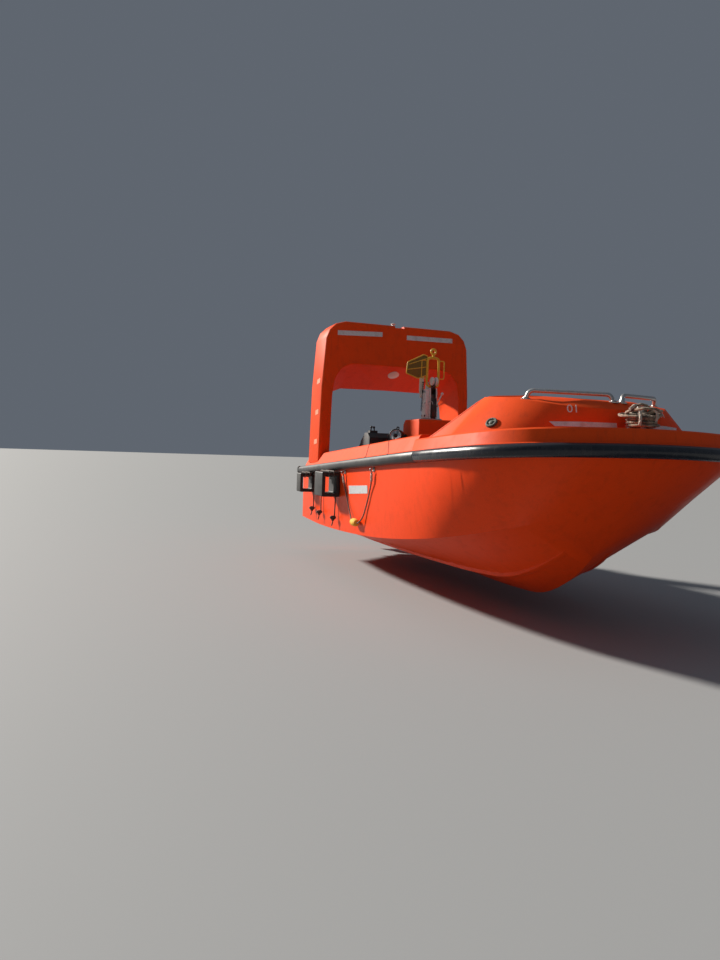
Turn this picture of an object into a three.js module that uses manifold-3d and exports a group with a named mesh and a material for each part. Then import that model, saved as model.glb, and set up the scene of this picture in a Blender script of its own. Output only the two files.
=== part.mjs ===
// A ship's rigid rescue boat: a glass-fibre hull with a rubber fender round its gunwale,
// a spray cuddy at the bow, a self-righting arch over the stern, a single-point release hook
// with its lifting ring, a helm console, and an outboard motor on the transom.
// Millimetres. +X runs to the bow, +Y to port, +Z up. Heights in this file are above the keel line,
// and the whole boat is lowered by its draft at the end, so that the origin lies on the waterline.
import * as THREE from "three";
import { mergeVertices } from "three/addons/utils/BufferGeometryUtils.js";
import Module from "manifold-3d";

const wasm = await Module();
wasm.setup();

// Driving dimensions
const DRAFT = 300;
const GAP = 0.3; // between pieces that rest on each other
const SKIN = 45; // hull and liner wall, foam included
const TRANSOM_X = -2250;
const NOTCH_HALF = 330; // the transom's cut-out for the motor
const NOTCH_Z = 610;
const SOLE_Z = 460;
const SOLE_THICK = 40;
const WELL_X = -1850; // front of the motor well
const WELL_FLOOR_Z = 530;
const LINER_FRONT_X = 800;
const CUDDY_START = 4; // station where the side coamings end and the cuddy begins

const FENDER_HEIGHT = 80;
const FENDER_DEPTH = 60;

const ARCH_FRONT_X = -1720;
const ARCH_BACK_X = -2120;

const HOOK = { x: -850, pinX: -880, pinZ: 1573, barX: -840, barZ: 1624 };
const RUNNING = 0.6; // radial clearance of a shaft in its bore
const PEDESTAL = { x0: -1050, x1: -660, half: 200, top: 1300 };
const LAMP = { x: -880, y: -325, z: 1140, radius: 65, half: 58, pan: -40 };
const WHEEL = { x: -1414, y: -370, z: 1010, radius: 145, rake: 25 };
const MOTOR = { tiltX: -2310, tiltZ: 640, kingX: -2385, shaftZ: 80, shaftEndX: -2735, propRadius: 100 };
const BITT = { x: 2070, deck: 1072, top: 1300 };

// Hull lines, one row for each station from the transom to the stem.
// keelX, keelZ, chineX, chineY, chineZ, bandX, bandY, sheerX, sheerY, sheerZ
const STATIONS = [
  [-2250, 0, -2250, 868, 240, -2250, 872, -2250, 872, 752],
  [-1500, 0, -1500, 884, 230, -1500, 890, -1500, 890, 803],
  [-700, 0, -700, 889, 250, -700, 908, -700, 908, 855],
  [100, 0, 100, 886, 298, 100, 924, 100, 924, 907],
  [800, 2, 760, 862, 368, 880, 937, 880, 938, 954],
  [1160, 35, 1160, 800, 430, 1475, 924, 1480, 930, 988],
  [1480, 190, 1530, 640, 515, 1850, 836, 1865, 850, 1012],
  [1740, 420, 1790, 420, 605, 2078, 630, 2110, 662, 1028],
  [1900, 610, 1935, 200, 690, 2150, 340, 2212, 372, 1036],
  [1992, 735, 1992, 0, 735, 2166, 0, 2238, 0, 1040],
];
const LAST = STATIONS.length - 1;
const BAND = 85; // height of the upright band behind the fender

const COLOUR = {
  orange: { color: 0xe8481f, roughness: 0.45, metalness: 0 },
  rubber: { color: 0x1b1c1f, roughness: 0.8, metalness: 0 },
  yellow: { color: 0xd9a514, roughness: 0.5, metalness: 0 },
  steel: { color: 0xb9bdc2, roughness: 0.35, metalness: 1 },
  white: { color: 0xe6e4dc, roughness: 0.5, metalness: 0 },
  black: { color: 0x17181a, roughness: 0.5, metalness: 0 },
  grey: { color: 0x5d6266, roughness: 0.6, metalness: 0 },
  rope: { color: 0x2a2220, roughness: 0.9, metalness: 0 },
};

const vec = (x, y, z) => new THREE.Vector3(x, y, z);

// Solids: joins and cuts

function weld(geometry) {
  const bare = geometry.index ? geometry.toNonIndexed() : geometry.clone();
  const flat = new THREE.BufferGeometry().setAttribute("position", bare.getAttribute("position"));
  return mergeVertices(flat, 1e-3);
}

function signedVolume(positions, triangles) {
  let six = 0;
  for (let i = 0; i < triangles.length; i += 3) {
    const [a, b, c] = [0, 1, 2].map((k) => new THREE.Vector3().fromArray(positions, triangles[i + k] * 3));
    six += a.dot(b.cross(c));
  }
  return six;
}

// A closed geometry as a solid, with faces that have collapsed to a line left out and all faces turned out.
function solid(geometry, matrix) {
  const welded = weld(geometry);
  if (matrix) welded.applyMatrix4(matrix);
  const positions = welded.getAttribute("position").array;
  const kept = [];
  const index = welded.index.array;
  for (let i = 0; i < index.length; i += 3) {
    const [a, b, c] = [index[i], index[i + 1], index[i + 2]];
    if (a !== b && b !== c && a !== c) kept.push(a, b, c);
  }
  if (signedVolume(positions, kept) < 0) {
    for (let i = 0; i < kept.length; i += 3) [kept[i + 1], kept[i + 2]] = [kept[i + 2], kept[i + 1]];
  }
  return new wasm.Manifold(
    new wasm.Mesh({ numProp: 3, vertProperties: positions, triVerts: new Uint32Array(kept) }),
  );
}

function geometryOf(body) {
  const mesh = body.getMesh();
  const positions = new Float32Array(mesh.numVert * 3);
  for (let i = 0; i < mesh.numVert; i++) {
    positions.set(mesh.vertProperties.subarray(i * mesh.numProp, i * mesh.numProp + 3), i * 3);
  }
  return new THREE.BufferGeometry()
    .setAttribute("position", new THREE.BufferAttribute(positions, 3))
    .setIndex(new THREE.BufferAttribute(mesh.triVerts, 1));
}

const join = (...bodies) => bodies.reduce((all, next) => all.add(next));
const place = (x, y, z) => new THREE.Matrix4().makeTranslation(x, y, z);
const turnedAt = (x, y, z, rx, ry, rz) =>
  place(x, y, z).multiply(new THREE.Matrix4().makeRotationFromEuler(new THREE.Euler(rx, ry, rz)));

function block(x0, x1, y0, y1, z0, z1) {
  const box = new THREE.BoxGeometry(x1 - x0, y1 - y0, z1 - z0);
  return solid(box, place((x0 + x1) / 2, (y0 + y1) / 2, (z0 + z1) / 2));
}

// A round bar between two points.
function bar(from, to, radius, sides = 16) {
  const along = to.clone().sub(from);
  const turn = new THREE.Quaternion().setFromUnitVectors(vec(0, 1, 0), along.clone().normalize());
  const matrix = new THREE.Matrix4().compose(from.clone().addScaledVector(along, 0.5), turn, vec(1, 1, 1));
  return solid(new THREE.CylinderGeometry(radius, radius, along.length(), sides), matrix);
}

function ball(x, y, z, radius) {
  return solid(new THREE.SphereGeometry(radius, 14, 10), place(x, y, z));
}

function circle(radius, sides) {
  const shape = new THREE.Shape();
  for (let i = 0; i < sides; i++) {
    const a = (2 * Math.PI * i) / sides;
    if (i) shape.lineTo(radius * Math.cos(a), radius * Math.sin(a));
    else shape.moveTo(radius, 0);
  }
  return shape.closePath();
}

function tube(curve, radius, steps, sides = 10) {
  return solid(
    new THREE.ExtrudeGeometry(circle(radius, sides), { steps, bevelEnabled: false, extrudePath: curve }),
  );
}

// Straight runs with rounded corners between the given points.
function roundedPath(points, radius) {
  const path = new THREE.CurvePath();
  let from = points[0];
  for (let i = 1; i < points.length - 1; i++) {
    const back = points[i - 1].clone().sub(points[i]).setLength(radius);
    const on = points[i + 1].clone().sub(points[i]).setLength(radius);
    const start = points[i].clone().add(back);
    const end = points[i].clone().add(on);
    path.add(new THREE.LineCurve3(from, start));
    path.add(new THREE.QuadraticBezierCurve3(start, points[i], end));
    from = end;
  }
  path.add(new THREE.LineCurve3(from, points[points.length - 1]));
  return path;
}

// A closed body through rings of equal length, with its first and last ring closed. Each face is
// split along its shorter diagonal, so that both sides of the boat get the same facets.
function loft(rings, flatten) {
  const count = rings[0].length;
  const all = rings.flat();
  const positions = all.flatMap((p) => [p.x, p.y, p.z]);
  const index = [];
  for (let i = 0; i < rings.length - 1; i++) {
    for (let j = 0; j < count; j++) {
      const a = i * count + j;
      const b = i * count + ((j + 1) % count);
      const [c, d] = [b + count, a + count];
      if (all[b].distanceTo(all[d]) < all[a].distanceTo(all[c]) - 1e-3) index.push(a, b, d, b, c, d);
      else index.push(a, b, c, a, c, d);
    }
  }
  const cap = (ring, offset, turned) => {
    const outline = ring.map((p, k) => flatten(p, k));
    if (Math.abs(THREE.ShapeUtils.area(outline)) < 1) return;
    const clockwise = THREE.ShapeUtils.isClockWise(outline);
    const order = outline.map((_, k) => (clockwise ? count - 1 - k : k));
    for (const face of THREE.ShapeUtils.triangulateShape(order.map((k) => outline[k]), [])) {
      const [a, b, c] = face.map((k) => order[k] + offset);
      if (clockwise !== turned) index.push(a, b, c);
      else index.push(a, c, b);
    }
  };
  cap(rings[0], 0, false);
  cap(rings[rings.length - 1], (rings.length - 1) * count, true);
  const geometry = new THREE.BufferGeometry();
  geometry.setAttribute("position", new THREE.Float32BufferAttribute(positions, 3));
  geometry.setIndex(index);
  return solid(geometry);
}

// Viewed along X, +Y to the left: the sections that are lofted along the boat.
const acrossX = (p) => new THREE.Vector2(p.y, p.z);
const acrossZ = (p) => new THREE.Vector2(p.x, p.y);

// An outline of [across, up] pairs, extruded along X or along Y.
function plateAlongY(outline, y0, y1) {
  const ring = (y) => outline.map(([x, z]) => vec(x, y, z));
  return loft([ring(y0), ring(y1)], (p) => new THREE.Vector2(p.x, p.z));
}

function plateAlongX(outline, x0, x1) {
  const ring = (x) => outline.map(([y, z]) => vec(x, y, z));
  return loft([ring(x0), ring(x1)], acrossX);
}

// The hull's long curves

function halfCurve(pick) {
  return new THREE.CatmullRomCurve3(STATIONS.map(pick), false, "centripetal");
}

// A curve that runs from the starboard quarter round the bow to the port quarter.
function fullCurve(pick) {
  const port = STATIONS.map(pick);
  const starboard = port.map((p) => vec(p.x, -p.y, p.z));
  return new THREE.CatmullRomCurve3([...starboard, ...port.slice(0, -1).reverse()], false, "centripetal");
}

const KEEL = halfCurve(([x, z]) => vec(x, 0, z));
const CHINE = halfCurve(([, , x, y, z]) => vec(x, y, z));
const BAND_LINE = fullCurve(([, , , , , x, y, , , z]) => vec(x, y, z - BAND));
const GUNWALE = fullCurve(([, , , , , , , x, y, z]) => vec(x, y, z));

const onFull = (curve, station) => curve.getPoint(station / (2 * LAST));
const onHalf = (curve, station) => curve.getPoint(station / LAST);

// The gunwale's station at a given distance along the boat.
function stationAt(x) {
  let low = 0;
  let high = LAST;
  for (let i = 0; i < 40; i++) {
    const middle = (low + high) / 2;
    if (onFull(GUNWALE, middle).x < x) low = middle;
    else high = middle;
  }
  return low;
}

const gunwaleAt = (x) => onFull(GUNWALE, stationAt(x));

// Out from the boat, level, at a station of the gunwale.
function outward(station) {
  const step = 0.01;
  const a = onFull(GUNWALE, Math.max(0, station - step));
  const b = onFull(GUNWALE, Math.min(2 * LAST, station + step));
  return vec(b.y - a.y, a.x - b.x, 0).normalize();
}

// A section of [out, up] pairs carried along the gunwale, with a ring at every quarter station.
function alongGunwale(section, from, to) {
  const stations = [from];
  for (let s = Math.floor(from * 4 + 1) / 4; s < to - 0.01; s += 0.25) stations.push(s);
  stations.push(to);
  const rings = stations.map((station) => {
    const origin = onFull(GUNWALE, station);
    const out = outward(station);
    return section.map(([o, up]) => origin.clone().addScaledVector(out, o).add(vec(0, 0, up)));
  });
  return loft(rings, (_, k) => new THREE.Vector2(...section[k]));
}

// Half breadth of the topside at a height, by its straight run from chine to band.
function topsideAt(x, z) {
  const station = stationAt(x);
  const chine = onHalf(CHINE, station);
  const band = onFull(BAND_LINE, station);
  return THREE.MathUtils.mapLinear(Math.min(z, band.z), chine.z, band.z, chine.y, -band.y);
}

// Hull

function hullRing(station, inset) {
  const w = THREE.MathUtils.smoothstep(station, CUDDY_START, LAST);
  const back = -1.6 * inset * w;
  const inward = (y) => y - inset * Math.min(1, y / 200);
  const keel = onHalf(KEEL, station);
  const chine = onHalf(CHINE, station);
  const band = onFull(BAND_LINE, station);
  const sheer = onFull(GUNWALE, station);
  const half = [
    vec(sheer.x + back, inward(-sheer.y), sheer.z + inset * 1.5),
    vec(band.x + back, inward(-band.y), band.z),
    vec(chine.x + back, inward(chine.y), chine.z + inset * 0.3),
    vec(chine.x + back, inward(chine.y) * 0.955, chine.z + inset * 0.3),
  ];
  const bottom = vec(keel.x + back, 0, keel.z + inset * (station === LAST ? 0.3 : 1));
  if (station === LAST) half[2] = half[3] = bottom.clone();
  const starboard = half.map((p) => vec(p.x, -p.y, p.z));
  return [...starboard, bottom, ...half.slice().reverse()];
}

function hullBody(inset, firstX) {
  const rings = [];
  for (let station = 0; station <= LAST + 1e-6; station += 0.25) {
    const ring = hullRing(Math.min(station, LAST), inset);
    if (station === 0) ring.forEach((p) => (p.x = firstX));
    rings.push(ring);
  }
  return loft(rings, acrossX);
}

// A spray strake on each side of the bottom, by its share of the way from keel to chine.
const STRAKE = { inner: 0.3, outer: 0.37, drop: 24, root: 14, to: 6.5 };

function strake(side) {
  const { inner, outer, drop, root, to } = STRAKE;
  const rings = [];
  for (let station = 0; station <= to; station += 0.25) {
    const keel = onHalf(KEEL, station);
    const edge = onHalf(CHINE, station);
    edge.y *= 0.955;
    const depth = drop * Math.min(1, (to - station) * 0.8 + 0.1);
    const at = (share, up) => {
      const p = keel.clone().lerp(edge, share);
      return vec(p.x, side * p.y, p.z + up);
    };
    rings.push([at(inner, root), at(inner, -depth * 0.3), at(outer, -depth), at(outer, root)]);
  }
  return loft(rings, acrossX);
}

function hull() {
  const notch = block(TRANSOM_X - 50, TRANSOM_X + SKIN + 60, -NOTCH_HALF, NOTCH_HALF, NOTCH_Z, 1200);
  return hullBody(0, TRANSOM_X)
    .add(join(strake(-1), strake(1)))
    .subtract(hullBody(SKIN, TRANSOM_X + SKIN))
    .subtract(notch);
}

// Deck, coamings and inside

// The liner stands inside the coaming: wall inside face and outside face, measured in from the gunwale.
const LINER_OUT = 120;
const LINER_IN = 165;

function tubBody(setIn, bottom, above, x0, x1) {
  const steps = 8;
  const rings = [];
  for (let i = 0; i <= steps; i++) {
    const x = x0 + ((x1 - x0) * i) / steps;
    const side = gunwaleAt(x);
    const half = -side.y - setIn;
    const top = side.z + above;
    rings.push([vec(x, -half, bottom), vec(x, half, bottom), vec(x, half, top), vec(x, -half, top)]);
  }
  return loft(rings, acrossX);
}

function cockpitLiner() {
  const outer = tubBody(LINER_OUT, SOLE_Z - SOLE_THICK, 0, WELL_X, LINER_FRONT_X);
  const inner = tubBody(LINER_IN, SOLE_Z, 60, WELL_X + SKIN, LINER_FRONT_X + 50);
  return outer.subtract(inner);
}

const COAMING = [
  [0, GAP], [0, 42], [-12, 46], [-70, 155], [-85, 165], [-150, 165], [-165, 155], [-165, GAP],
];

function coaming(side) {
  const from = 0.02;
  const to = CUDDY_START - 0.002;
  return side < 0
    ? alongGunwale(COAMING, from, to)
    : alongGunwale(COAMING, 2 * LAST - to, 2 * LAST - from);
}

function motorWell() {
  const x0 = TRANSOM_X + SKIN + GAP;
  const x1 = WELL_X - GAP;
  const wall = NOTCH_HALF + 2;
  const deckHalf = -gunwaleAt(TRANSOM_X + 60).y - LINER_IN - 5;
  const floor = block(x0, x1, -wall - 40, wall + 40, WELL_FLOOR_Z - 40, WELL_FLOOR_Z);
  const sides = [-1, 1].flatMap((s) => {
    const [a, b] = s < 0 ? [-wall - 40, -wall] : [wall, wall + 40];
    const [c, d] = s < 0 ? [-deckHalf, -wall] : [wall, deckHalf];
    return [block(x0, x1, a, b, WELL_FLOOR_Z - 40, 815), block(x0, x1, c, d, 785, 815)];
  });
  return join(floor, ...sides);
}

// Plan of the cuddy's floor: x and half breadth.
const CUDDY_FLOOR = [
  [LINER_FRONT_X + 5, 766.3], [1300, 695.3], [1500, 614.3], [1700, 416.3],
];

function cuddyFloor() {
  const [z0, z1] = [600, 640];
  const rings = CUDDY_FLOOR.map(([x, half]) => [
    vec(x, -half, z0), vec(x, half, z0), vec(x, half, z1), vec(x, -half, z1),
  ]);
  const [x, half] = CUDDY_FLOOR[0];
  return loft(rings, acrossX).add(block(x, x + 40, -half, half, SOLE_Z - SOLE_THICK, z0 + 5));
}

// Cuddy: bulwark round the bow, side walls that lean in, cambered top and a small foredeck

const BULWARK = [
  [0, GAP], [0, 42], [-8, 46], [-28, 118], [-40, 128], [-75, 128], [-75, GAP],
];
// Rows from the foot of the slanted after edge to the middle of the front.
// footX, footY, edgeX, edgeY, edgeZ, crownX, crownY, crownZ
const CUDDY = [
  [960, 862, 1300, 606, 1366, 1345, 300, 1384],
  [1300, 866, 1480, 592, 1358, 1500, 290, 1377],
  [1600, 800, 1680, 510, 1330, 1660, 250, 1362],
  [1800, 672, 1820, 380, 1302, 1790, 180, 1346],
  [1925, 420, 1900, 210, 1290, 1850, 95, 1336],
  [1968, 0, 1925, 0, 1286, 1870, 0, 1332],
];

const RIM = 14; // radius of the lip along its after edge

function cuddyBody(skin, openAft, openDown) {
  const shift = (x, y) => [x - skin * 1.1, Math.max(0, y - skin * 1.2 * Math.min(1, y / 150))];
  const layer = (ix, iy, heightOf, aft) => {
    const half = CUDDY.map((row, i) => {
      const [x, y] = shift(row[ix], row[iy]);
      return vec(i === 0 ? row[ix] - aft : x, y, heightOf(row));
    });
    const starboard = half.map((p) => vec(p.x, -p.y, p.z));
    return [...starboard, ...half.slice(0, -1).reverse()];
  };
  return loft(
    [
      layer(0, 1, () => 1075 - openDown, openAft),
      layer(2, 3, (row) => row[4] - skin, openAft),
      layer(5, 6, (row) => row[7] - skin, openAft),
    ],
    acrossZ,
  );
}

function foredeck() {
  const rim = [];
  for (let station = 6.7; station <= 2 * LAST - 6.7 + 1e-6; station += 0.46) {
    rim.push(onFull(GUNWALE, station).addScaledVector(outward(station), -50));
  }
  const ring = (z) => rim.map((p) => vec(p.x, p.y, z));
  return loft([ring(BITT.deck - 30), ring(BITT.deck)], acrossZ);
}

// The rolled lip along the after edge: height of its ends, and how far inside the edge its line runs.
const RIM_LINE = { footZ: 1070, inward: 8, below: 6 };

function cuddyRim() {
  const [footX, footY, edgeX, edgeY, edgeZ, crownX, crownY, crownZ] = CUDDY[0];
  const { footZ, inward, below } = RIM_LINE;
  const half = [
    vec(footX, inward - footY, footZ),
    vec(edgeX, inward - edgeY, edgeZ - below),
    vec(crownX, -crownY, crownZ - below),
  ];
  const port = half.map((p) => vec(p.x, -p.y, p.z)).reverse();
  return tube(roundedPath([...half, ...port], 60), RIM, 54, 8);
}

function cuddy() {
  const bulwark = alongGunwale(BULWARK, CUDDY_START, 2 * LAST - CUDDY_START);
  const inside = cuddyBody(36, 260, 160);
  return join(cuddyBody(0, 0, 0), foredeck()).subtract(inside).add(cuddyRim()).add(bulwark).add(
    foredeck().intersect(block(1880, 2300, -900, 900, 900, 1200)),
  );
}

// Fender: a D section, flat on the hull

const D_SECTION = [
  [GAP, -0.5], [GAP, 0.5], [0.5, 0.5], [0.86, 0.36], [1, 0.13], [1, -0.13], [0.86, -0.36], [0.5, -0.5],
].map(([out, up]) => [out === GAP ? GAP : out * FENDER_DEPTH, up * FENDER_HEIGHT]);

const FENDER_SPLIT = 4.25;
const FENDER_GAP = 0.003;

function sternFender(side) {
  const corner = onFull(GUNWALE, 0);
  const y0 = side * (NOTCH_HALF + 4);
  const y1 = side * (-corner.y + FENDER_DEPTH);
  const outline = D_SECTION.map(([out, up]) => [TRANSOM_X - out, corner.z + up]);
  return plateAlongY(outline, Math.min(y0, y1), Math.max(y0, y1));
}

// Arch over the stern

// Half of the outer outline, from the foot up: y, z.
const ARCH_OUTER = [
  [862, 700], [858, 950], [846, 1640], [812, 2140], [775, 2235], [706, 2300], [600, 2330], [0, 2330],
];
const ARCH_ROUND = 26; // radius of its outer edges
const ARCH_LIP = 12; // radius of the bead round the opening's front edge
// Half of the opening, from the foot up, at the front face and at the back face: y, z.
const ARCH_OPENING = {
  front: [[758, 600], [758, 950], [742, 1560], [716, 1740], [640, 1852], [520, 1900], [0, 1905]],
  back: [[720, 600], [720, 950], [700, 1400], [682, 1530], [620, 1620], [520, 1662], [0, 1668]],
};

const mirrored = (half, x) => [
  ...half.map(([y, z]) => vec(x, -y, z)),
  ...half.filter(([y]) => y > 0).reverse().map(([y, z]) => vec(x, y, z)),
];

// The opening's outline carried on past a face by a share of the arch's depth.
function openingRing(share) {
  const x = THREE.MathUtils.lerp(ARCH_BACK_X, ARCH_FRONT_X, share);
  const half = ARCH_OPENING.back.map(([y, z], i) => {
    const [frontY, frontZ] = ARCH_OPENING.front[i];
    return [THREE.MathUtils.lerp(y, frontY, share), THREE.MathUtils.lerp(z, frontZ, share)];
  });
  return mirrored(half, x);
}

// The outer outline drawn in by a distance, square to its own edges.
function archOuter(x, inset) {
  const half = ARCH_OUTER.map(([y, z], i) => {
    const before = ARCH_OUTER[Math.max(0, i - 1)];
    const after = ARCH_OUTER[i + 1] ?? [-y - 100, z];
    const run = new THREE.Vector2(after[0] - before[0], after[1] - before[1]).normalize();
    return [y === 0 ? 0 : y - run.y * inset, z + run.x * inset];
  });
  return mirrored(half, x);
}

function arch(port, starboard) {
  const outer = loft(
    [0, 30, 60, 90].map((a) => THREE.MathUtils.degToRad(a)).flatMap((a) => {
      const [back, inset] = [ARCH_ROUND * (1 - Math.sin(a)), ARCH_ROUND * (1 - Math.cos(a))];
      return [[ARCH_FRONT_X - back, inset], [ARCH_BACK_X + back, inset]];
    }).sort((a, b) => a[0] - b[0]).map(([x, inset]) => archOuter(x, inset)),
    acrossX,
  );
  const notch = block(ARCH_BACK_X - 50, ARCH_FRONT_X + 50, -52, 52, 2306, 2400);
  const edge = mirrored([[758, 830], ...ARCH_OPENING.front.slice(2)], ARCH_FRONT_X - 4);
  const lip = tube(roundedPath(edge.filter((p) => p.y !== 0), 45), ARCH_LIP, 72, 8);
  const opening = loft([openingRing(-0.05), openingRing(1.05)], acrossX);
  const below = block(ARCH_BACK_X - 50, ARCH_FRONT_X + 50, -1000, 1000, 500, 840);
  return outer
    .subtract(join(opening, notch))
    .add(lip)
    .subtract(join(below, ...[port, starboard].map((c) => c.translate([0, 0, GAP]))));
}

function archLight() {
  const x = (ARCH_FRONT_X + ARCH_BACK_X) / 2;
  const base = 2306 + GAP;
  return join(
    bar(vec(x, 0, base), vec(x, 0, base + 30), 26),
    bar(vec(x, 0, base + 25), vec(x, 0, base + 75), 20),
    bar(vec(x, 0, base + 70), vec(x, 0, base + 82), 27),
  );
}

// Hook pedestal and release hook

function pedestal() {
  const { x0, x1, half, top } = PEDESTAL;
  const edge = 30;
  const outline = [
    [x0, SOLE_Z + GAP], [x1, SOLE_Z + GAP], [x1, top - edge], [x1 - edge / 2, top],
    [x0 + edge * 1.5, top], [x0, top - edge * 1.5],
  ];
  return plateAlongY(outline, -half, half);
}

function hookPost() {
  const { x, pinX, pinZ } = HOOK;
  const foot = PEDESTAL.top + GAP;
  const cheek = [
    [x - 60, foot + 10], [x + 55, foot + 10], [x + 42, pinZ - 10], [x + 36, pinZ + 34], [x - 2, pinZ + 34],
    [x - 12, pinZ + 48], [x - 14, pinZ + 92], [x - 40, pinZ + 100], [x - 62, pinZ + 60], [x - 66, pinZ],
  ];
  const cheeks = [-1, 1].map((s) => {
    const [a, b] = s < 0 ? [-40, -26] : [26, 40];
    return plateAlongY(cheek, a, b);
  });
  return join(
    block(x - 85, x + 85, -80, 80, foot, foot + 12),
    ...cheeks,
    block(x - 60, x + 54, -30, 30, foot + 6, pinZ - 62),
    bar(vec(pinX, -44, pinZ), vec(pinX, 44, pinZ), 10),
  );
}

// The jaw turns on a pin between the cheeks. Its nose reaches under, ahead of and over the ring's bar.
function releaseJaw() {
  const { pinX, pinZ, barX, barZ } = HOOK;
  const outline = [];
  const arc = (cx, cz, r, a0, a1, n) => {
    for (let i = 0; i <= n; i++) {
      const a = THREE.MathUtils.degToRad(a0 + ((a1 - a0) * i) / n);
      outline.push([cx + r * Math.cos(a), cz + r * Math.sin(a)]);
    }
  };
  arc(barX, barZ, 38, -60, 95, 9);
  arc(barX, barZ + JAW.room - GAP, RING.rod + JAW.room, 95, -95, 10);
  arc(pinX, pinZ, 24, 60, 300, 8);
  const bore = bar(vec(pinX, -30, pinZ), vec(pinX, 30, pinZ), 11);
  return plateAlongY(outline, -JAW.half, JAW.half).subtract(bore);
}

function releaseLever() {
  const { x } = HOOK;
  const y = 44;
  return join(
    bar(vec(x + 20, 40 + GAP, 1440), vec(x + 20, 58, 1440), 14),
    bar(vec(x + 20, y + 6, 1440), vec(x + 62, y + 6, 1545), 6, 10),
    ball(x + 62, y + 6, 1548, 12),
  );
}

// The ring hangs on the jaw by its lower bar, with a rod frame each side to hold it by.
const RING = { rod: 9, half: 60, rise: 270, corner: 30 };
// Half width of the jaw, and the room round the ring's bar, which lies on the slot's floor.
const JAW = { half: 18, room: 3.4 };

function liftingRing() {
  const { barX, barZ } = HOOK;
  const { rod, half, rise, corner } = RING;
  const top = barZ + rise;
  const oval = (side) =>
    roundedPath(
      [vec(barX, 0, barZ), vec(barX, side * half, barZ), vec(barX, side * half, top), vec(barX, 0, top)],
      corner,
    );
  const frame = (side) =>
    roundedPath(
      [
        vec(barX, side * half, barZ + 75),
        vec(barX, side * (half + 58), barZ + 75),
        vec(barX, side * (half + 58), barZ + 245),
        vec(barX, side * (half - 8), barZ + 245),
      ],
      16,
    );
  const guard = [
    [-half, top + 10], [-half - 40, top + 20], [-half - 190, top - 40], [-half - 205, top - 130],
    [-half - 90, top - 175], [-half, top - 150],
  ];
  return join(
    ...[-1, 1].map((s) => tube(oval(s), rod, 16)),
    ...[-1, 1].map((s) => tube(frame(s), 5, 14, 8)),
    plateAlongX(guard, barX - 4, barX + 1),
    bar(vec(barX, 0, top + 2), vec(barX, 0, top + 40), 13, 12),
    solid(new THREE.TorusGeometry(24, 8, 8, 16), turnedAt(barX, 0, top + 60, 0, Math.PI / 2, 0)),
  );
}

// Helm

// A point on the steering column's axis, ahead of the wheel by a distance.
function alongColumn(distance) {
  const rake = THREE.MathUtils.degToRad(WHEEL.rake);
  return vec(WHEEL.x + Math.cos(rake) * distance, WHEEL.y, WHEEL.z - Math.sin(rake) * distance);
}

function helmConsole() {
  const outline = [
    [-1350, SOLE_Z + GAP], [-1090, SOLE_Z + GAP], [-1090, 1120], [-1150, 1165], [-1230, 1165], [-1350, 1080],
  ];
  return join(
    plateAlongY(outline, -530, -210),
    bar(alongColumn(74), alongColumn(12.5), 22),
    block(-1225, -1155, -505, -425, 1160, 1188),
    bar(vec(-1190, -485, 1180), vec(-1170, -485, 1222), 6, 8),
    bar(vec(-1190, -445, 1180), vec(-1206, -445, 1220), 6, 8),
    ball(-1170, -485, 1222, 12),
    ball(-1206, -445, 1220, 12),
  );
}

function steeringWheel() {
  const { x, y, z, radius, rake } = WHEEL;
  const turn = turnedAt(x, y, z, 0, Math.PI / 2 + THREE.MathUtils.degToRad(rake), 0);
  const rim = solid(new THREE.TorusGeometry(radius, 12, 10, 36), turn);
  const hub = solid(new THREE.CylinderGeometry(28, 28, 24, 16).rotateX(Math.PI / 2), turn);
  const spokes = [0, 1, 2].map((i) => {
    const a = (2 * Math.PI * i) / 3 + Math.PI / 2;
    const spoke = new THREE.BoxGeometry(radius - 10, 22, 8).translate(radius / 2 - 2, 0, 0).rotateZ(a);
    return solid(spoke, turn);
  });
  return join(rim, hub, ...spokes);
}

function helmSeat() {
  return block(-1790, -1560, -550, -200, SOLE_Z + GAP, 830);
}

function bench(side) {
  const [y0, y1] = side < 0 ? [-718, -470] : [470, 718];
  return block(-900, 560, y0, y1, SOLE_Z + GAP, 790);
}

// Searchlight: a bracket on the pedestal, a yoke that pans, a head that tilts

function lampBracket() {
  const { x, y } = LAMP;
  return join(
    block(x - 22, x + 22, y - 26, -PEDESTAL.half - GAP, 975, 995),
    block(x - 22, x + 22, -PEDESTAL.half - 12, -PEDESTAL.half - GAP, 930, 1030),
    bar(vec(x, y, 990), vec(x, y, 1012), 18),
    bar(vec(x, y, 1005), vec(x, y, 1026), 8, 12),
  );
}

// At rest the lamp looks ahead and to starboard.
function panned(body) {
  const { x, y, pan } = LAMP;
  return body.translate([-x, -y, 0]).rotate([0, 0, pan]).translate([x, y, 0]);
}

function lampYoke() {
  const { x, y, z, radius } = LAMP;
  const arm = radius + 7;
  const plate = block(x - 18, x + 18, y - arm - 8, y + arm + 8, 1016, 1032);
  const arms = [-1, 1].map((s) => {
    const [a, b] = s < 0 ? [y - arm - 8, y - arm] : [y + arm, y + arm + 8];
    return block(x - 16, x + 16, a, b, 1020, z + 18);
  });
  const stud = bar(vec(x, y, 1000), vec(x, y, 1040), 9, 12);
  const pins = bar(vec(x, y - arm - 20, z), vec(x, y + arm + 20, z), 8.8, 12);
  return panned(join(plate, ...arms).subtract(stud).subtract(pins));
}

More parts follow.
